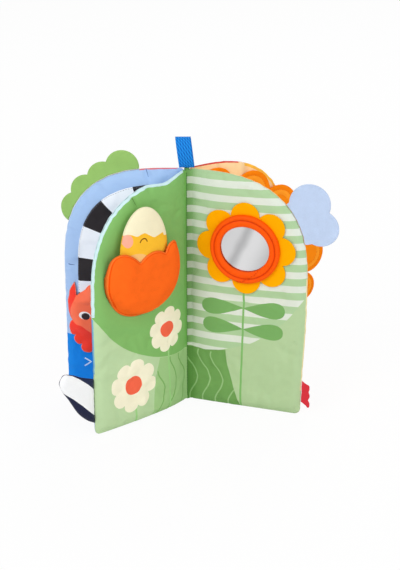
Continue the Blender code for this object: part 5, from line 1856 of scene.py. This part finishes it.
def build_loop():
    """A tape that climbs, turns over and comes down again, on a slight lean."""
    across, along = 8, 72
    foot = PAGE_HEIGHT + GAP + TAPE / 2
    climb = PAGE_HEIGHT + LOOP_HEIGHT - TAPE / 2 - foot
    swell, leg = (LOOP_WIDTH - TAPE) / 2, (TAPE + GAP) / 2
    places, flat = [], []
    for j in range(along + 1):
        share = j / along
        rise = (1 - math.cos(math.tau * share)) / 2
        opened = abs(math.sin(math.tau * share)) * rise**0.25
        width = 0.0 if j * 2 == along else leg + (swell - leg) * opened
        for i in range(across + 1):
            x = (i / across - 0.5) * TAPE_WIDTH - LOOP_LEAN * rise
            places.append((x, math.copysign(width, share - 0.5), foot + climb * rise))
            flat.append((i / across * TAPE_WIDTH, share * TAPE_LENGTH))
    faces = []
    for j in range(along):
        for i in range(across):
            a = j * (across + 1) + i
            faces += [(a, a + 1, a + across + 2), (a, a + across + 2, a + across + 1)]
    name = "carrying_loop_webbing"
    mesh = sheet_mesh(name, places, np.array(faces), np.array(flat), np.ones((len(faces), 3)))
    return thickened(show(name, mesh, webbing_look()), "tape", TAPE, 0.0)


loop = build_loop()
print("loop faces:", len(loop.data.polygons))

# %% [markdown]
# The binding keeps its CAD solid, which is hidden but for its two ends and a
# thin line in the open valleys. It is red cloth like the covers and green at its
# head, and its front is painted dark green as the shade down in the valley.

# %% Spine binding
BINDING_GREEN_AND_SHADE = (98, 148, 80)
GREEN_FROM_HEAD, SHADE_FROM_FRONT = 0.003, -0.0006
binding_look = finish_of("red_binding_look", (190, 30, 36), WEAVE, "object", (("Unevenness", 0.2),), 0.7)
tree = binding_look.node_tree
where = tree.nodes["Texture Coordinate"].outputs["Object"]
where = new_node(tree, "ShaderNodeSeparateXYZ", {0: where}).outputs
# The head is green, and the front is painted dark green as the shade in the valley.
at_head = maths(tree, "GREATER_THAN", where[2], PAGE_HEIGHT - GREEN_FROM_HEAD)
shaded_front = maths(tree, "LESS_THAN", where[1], SHADE_FROM_FRONT)
head_and_shaded_front = maths(tree, "MAXIMUM", at_head, shaded_front)
shader = tree.nodes["Principled BSDF"]
red_cloth = shader.inputs["Base Color"].links[0].from_socket
feed(tree, shader, {"Base Color": blended(tree, head_and_shaded_front, red_cloth, linear(BINDING_GREEN_AND_SHADE))})
for slot in nodes["spine_binding"].material_slots:
    slot.material = binding_look
print("binding finish:", binding_look.name)

# %% [markdown]
# Thread shows wherever a piece is sewn on from outside: in the ring's groove,
# along the pocket's edge, down the spine and round the arcs of the felt petals.
# A stitch is a small bead of thread that dips into the cloth at both ends, so
# one Geometry Nodes tree can lay it along any line at an even spacing.

# %% The stitching tree
def stitch_tree():
    """A geometry tree that lays beads of thread along a line."""
    tree = bpy.data.node_groups.new("stitches_on_a_line", "GeometryNodeTree")
    for label, kind in (("Line", "Geometry"), ("Spacing", "Float"), ("Length", "Float"),
                        ("Thickness", "Float"), ("Thread", "Material")):
        tree.interface.new_socket(label, in_out="INPUT", socket_type="NodeSocket" + kind)
    tree.interface.new_socket("Stitches", in_out="OUTPUT", socket_type="NodeSocketGeometry")
    given, made = tree.nodes.new("NodeGroupInput").outputs, tree.nodes.new("NodeGroupOutput")

    def step(kind, inputs, output, **settings):
        return new_node(tree, kind, inputs, **settings).outputs[output]

    curve = step("GeometryNodeMeshToCurve", {"Mesh": given["Line"]}, "Curve")
    even = {"Curve": curve, "Length": given["Spacing"]}
    even = step("GeometryNodeResampleCurve", even, "Curve", mode="LENGTH")
    bead = step("GeometryNodeMeshUVSphere", {"Segments": 6, "Rings": 4, "Radius": 0.5}, "Mesh")
    run = step("GeometryNodeInputTangent", {}, "Tangent")
    aim = step("FunctionNodeAlignRotationToVector", {"Vector": run}, "Rotation", axis="X")
    size = {"X": given["Length"], "Y": given["Thickness"], "Z": given["Thickness"]}
    size = step("ShaderNodeCombineXYZ", size, "Vector")
    laid = {"Points": even, "Instance": bead, "Rotation": aim, "Scale": size}
    laid = step("GeometryNodeInstanceOnPoints", laid, "Instances")
    real = step("GeometryNodeRealizeInstances", {"Geometry": laid}, "Geometry")
    paint = step("GeometryNodeSetMaterial", {"Geometry": real, "Material": given["Thread"]}, "Geometry")
    feed(tree, made, {"Stitches": paint})
    return tree


STITCHES = stitch_tree()
print("stitch inputs:", [item.name for item in STITCHES.interface.items_tree if item.in_out == "INPUT"])

# %% Sewing along lines
THREAD_FINENESS, THREAD_CLOUDINESS = 2600.0, 0.25


def sewn(name, lines, thread, colour, spacing, length, thickness):
    """Stitches along lines in the room, as one plain mesh."""
    values = (("Fineness", THREAD_FINENESS), ("Cloudiness", THREAD_CLOUDINESS))
    thread = finish_of(thread, colour, FIBRES, "object", values, 0.6)
    places, edges = [], []
    for line, closed in lines:
        first, count = len(places), len(line)
        places += [tuple(p) for p in line]
        edges += [(first + k, first + (k + 1) % count) for k in range(count if closed else count - 1)]
    mesh = bpy.data.meshes.new(name + "_line")
    mesh.from_pydata(places, edges, [])
    guide = placed(name + "_line", mesh)
    sewing = guide.modifiers.new("sewing", "NODES")
    sewing.node_group = STITCHES
    values = {"Spacing": spacing, "Length": length, "Thickness": thickness, "Thread": thread}
    for item in STITCHES.interface.items_tree:
        if item.in_out == "INPUT" and item.name in values:
            sewing[item.identifier] = values[item.name]
    done = guide.evaluated_get(bpy.context.evaluated_depsgraph_get())
    result = bpy.data.meshes.new_from_object(done)
    result.name = name
    bpy.data.objects.remove(guide)
    result.shade_smooth()
    print(name, len(result.polygons), "faces")
    return placed(name, result)


def on_surface(leaf, line, height, away=0.01):
    """A line on the page lifted to a surface, for the stitching."""
    return to_world(leaf, line[:, 0], height(line, np.zeros(len(line)) + away), line[:, 1])


print("thread fineness:", THREAD_FINENESS)

# %% Thread on each body
GROOVE_LEVEL = 0.70
turn = np.linspace(0.0, math.tau, 120, endpoint=False)
groove_r = RING_INNER + (RING_OUTER - RING_INNER) * GROOVE_SHARE
groove_v = FLOWER.y + (groove_r - INNER_DROP * (1.0 - GROOVE_SHARE)) * np.sin(turn)
groove_lift = np.array([ring_lap(t, GROOVE_SHARE) for t in turn])
groove_w = -(RING_LEVEL + RING_HEIGHT * GROOVE_LEVEL + groove_lift)
ring_seam = to_world(STRIPED, FLOWER.x + groove_r * np.cos(turn), groove_w, groove_v)
ring_thread = sewn("ring_stitches", [(ring_seam, True)], "deep_orange_thread", (206, 58, 2),
                   0.0020, 0.0015, 0.0005)

pocket_line = moved_in(tulip_line, STITCH_INSET)
pocket_away = distance_to(pocket_line, tulip_line)[0]
pocket_rise = tulip_high(pocket_line, pocket_away) + 0.00005
pocket_seam = to_world(GREEN, pocket_line[:, 0], pocket_rise, pocket_line[:, 1])
tulip_thread = sewn("pocket_stitches", [(pocket_seam, True)], "orange_thread", (242, 84, 10),
                    0.0021, 0.0016, 0.00045)

crease_radius = VALLEY_RADIUS + 0.0003
crease = [(crease_radius * math.cos(MIDDLE_WAY), crease_radius * math.sin(MIDDLE_WAY), rise)
          for rise in np.linspace(0.004, PAGE_HEIGHT - 0.004, 80)]
spine_thread = sewn("spine_stitches", [(crease, False)], "dark_green_thread", (70, 118, 56),
                    0.0014, 0.0011, 0.0006)

arc_lines = []
for m, r in zip(big_middles, big_radii):
    for arc, _, _ in BIG_ARCS:
        ring_of = disc(*m, r * arc, sides=64)
        free = inside(ring_of, big_line)
        for n, (other, size) in enumerate(zip(big_middles, big_radii)):
            if other is not m:
                free &= np.hypot(ring_of[:, 0] - other[0], ring_of[:, 1] - other[1]) > size * arc
        free &= np.hypot(ring_of[:, 0] - big_heart[0], ring_of[:, 1] - big_heart[1]) > 0.029
        order = np.roll(np.arange(64), -int(np.argmin(free)))
        kept = [k for k in order if free[k]]
        if len(kept) > 6:
            arc_lines.append((on_surface(RIGHT, ring_of[kept], big_high), False))
petal_thread = sewn("petal_stitches", arc_lines, "petal_thread", (224, 112, 6), 0.0022, 0.0017, 0.00045)

BAND_STITCH_INSET = 0.0008
edge_line = on_surface(LEFT, moved_in(arch_line, BAND_STITCH_INSET), arch_high, BAND_STITCH_INSET)
band_thread = sewn("band_stitches", [(edge_line, True)], "grey_thread", (120, 122, 134),
                   0.0022, 0.0017, 0.0003)
print("sewn lines:", len(arc_lines) + 4)

# %% [markdown]
# Each piece is tied to the body it moves with, and stands for the CAD pieces
# that it replaces. The three valley strips and the spine's thread stay where they are made.

# %% Ride and replace
RIDES = (
    (green_page, "green_leaf", "green_cloth",
     ("green_page_panel", "green_leaf_wadding", "green_leaf_crinkle_film")),
    (sea_page, "green_leaf", "sea_cloth", ("sea_page_panel",)),
    (striped_page, "striped_leaf", "striped_cloth",
     ("striped_page_panel", "striped_leaf_wadding", "striped_leaf_crinkle_film")),
    (garden_page, "striped_leaf", "yellow_cloth", ("garden_page_panel",)),
    (left_inner, "left_cover", "sky_cloth", ("left_cover_inner_panel", "left_cover_wadding")),
    (left_outer, "left_cover", "red_cloth", ("left_cover_outer_panel",)),
    (right_inner, "right_cover", "peach_cloth", ("right_cover_inner_panel", "right_cover_wadding")),
    (right_outer, "right_cover", "red_cloth", ("right_cover_outer_panel",)),
    (petals, "striped_leaf", "golden_felt", ("flower_petals",)),
    (mirror, "striped_leaf", "mirror_film", ("mirror_film",)),
    (ring, "striped_leaf", "orange_satin", ("mirror_ring",)),
    (cloud, "striped_leaf", "blue_felt", ("cloud_tab",)),
    (label, "striped_leaf", "red_cloth", ("edge_label",)),
    (loop, "striped_leaf", "blue_webbing", ("spine_ribbon_loop",)),
    (tulip, "green_leaf", "tulip_cloth", ("tulip_pocket",)),
    (egg_front, "egg_toy", "cream_cloth", ("egg_toy_front", "egg_toy_filling")),
    (egg_back, "egg_toy", "yolk_cloth", ("egg_toy_back",)),
    (tail_front, "green_leaf", "white_cloth", ("tail_tab_front", "tail_tab_filling")),
    (tail_back, "green_leaf", "navy_cloth", ("tail_tab_back",)),
    (arch, "left_cover", "band_satin", ("striped_band",)),
    (fish, "left_cover", "fish_satin", ("fish_applique",)),
    (bush, "left_cover", "green_felt", ("bush_tab",)),
    (big_petals, "right_cover", "petal_felt", ("big_flower_petals",)),
    (big_centre, "right_cover", "flower_middle_cloth", ("big_flower_centre",)),
)
SEWING = ((ring_thread, "striped_leaf", "orange_satin"), (tulip_thread, "green_leaf", "tulip_cloth"),
          (petal_thread, "right_cover", "petal_felt"), (band_thread, "left_cover", "band_satin"))
for piece, body, slot in SEWING:
    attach(piece, body)
for piece, body, slot, stands_for in RIDES:
    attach(piece, body)
    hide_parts(*stands_for)


BEND_FROM = 0.0034


def bend_between(piece, start_leaf, end_leaf):
    """Bake a piece's place into its mesh, where it stays as it was made."""
    start, end = (tuple(to_world(leaf, [BEND_FROM], [0.0], [0.1])[0]) for leaf in (start_leaf, end_leaf))
    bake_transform(piece)


bend_between(middle_valley, STRIPED, GREEN)
bend_between(spine_thread, STRIPED, GREEN)
bend_between(left_valley, GREEN, LEFT)
bend_between(right_valley, STRIPED, RIGHT)
print("pieces riding:", len(RIDES) + 3)
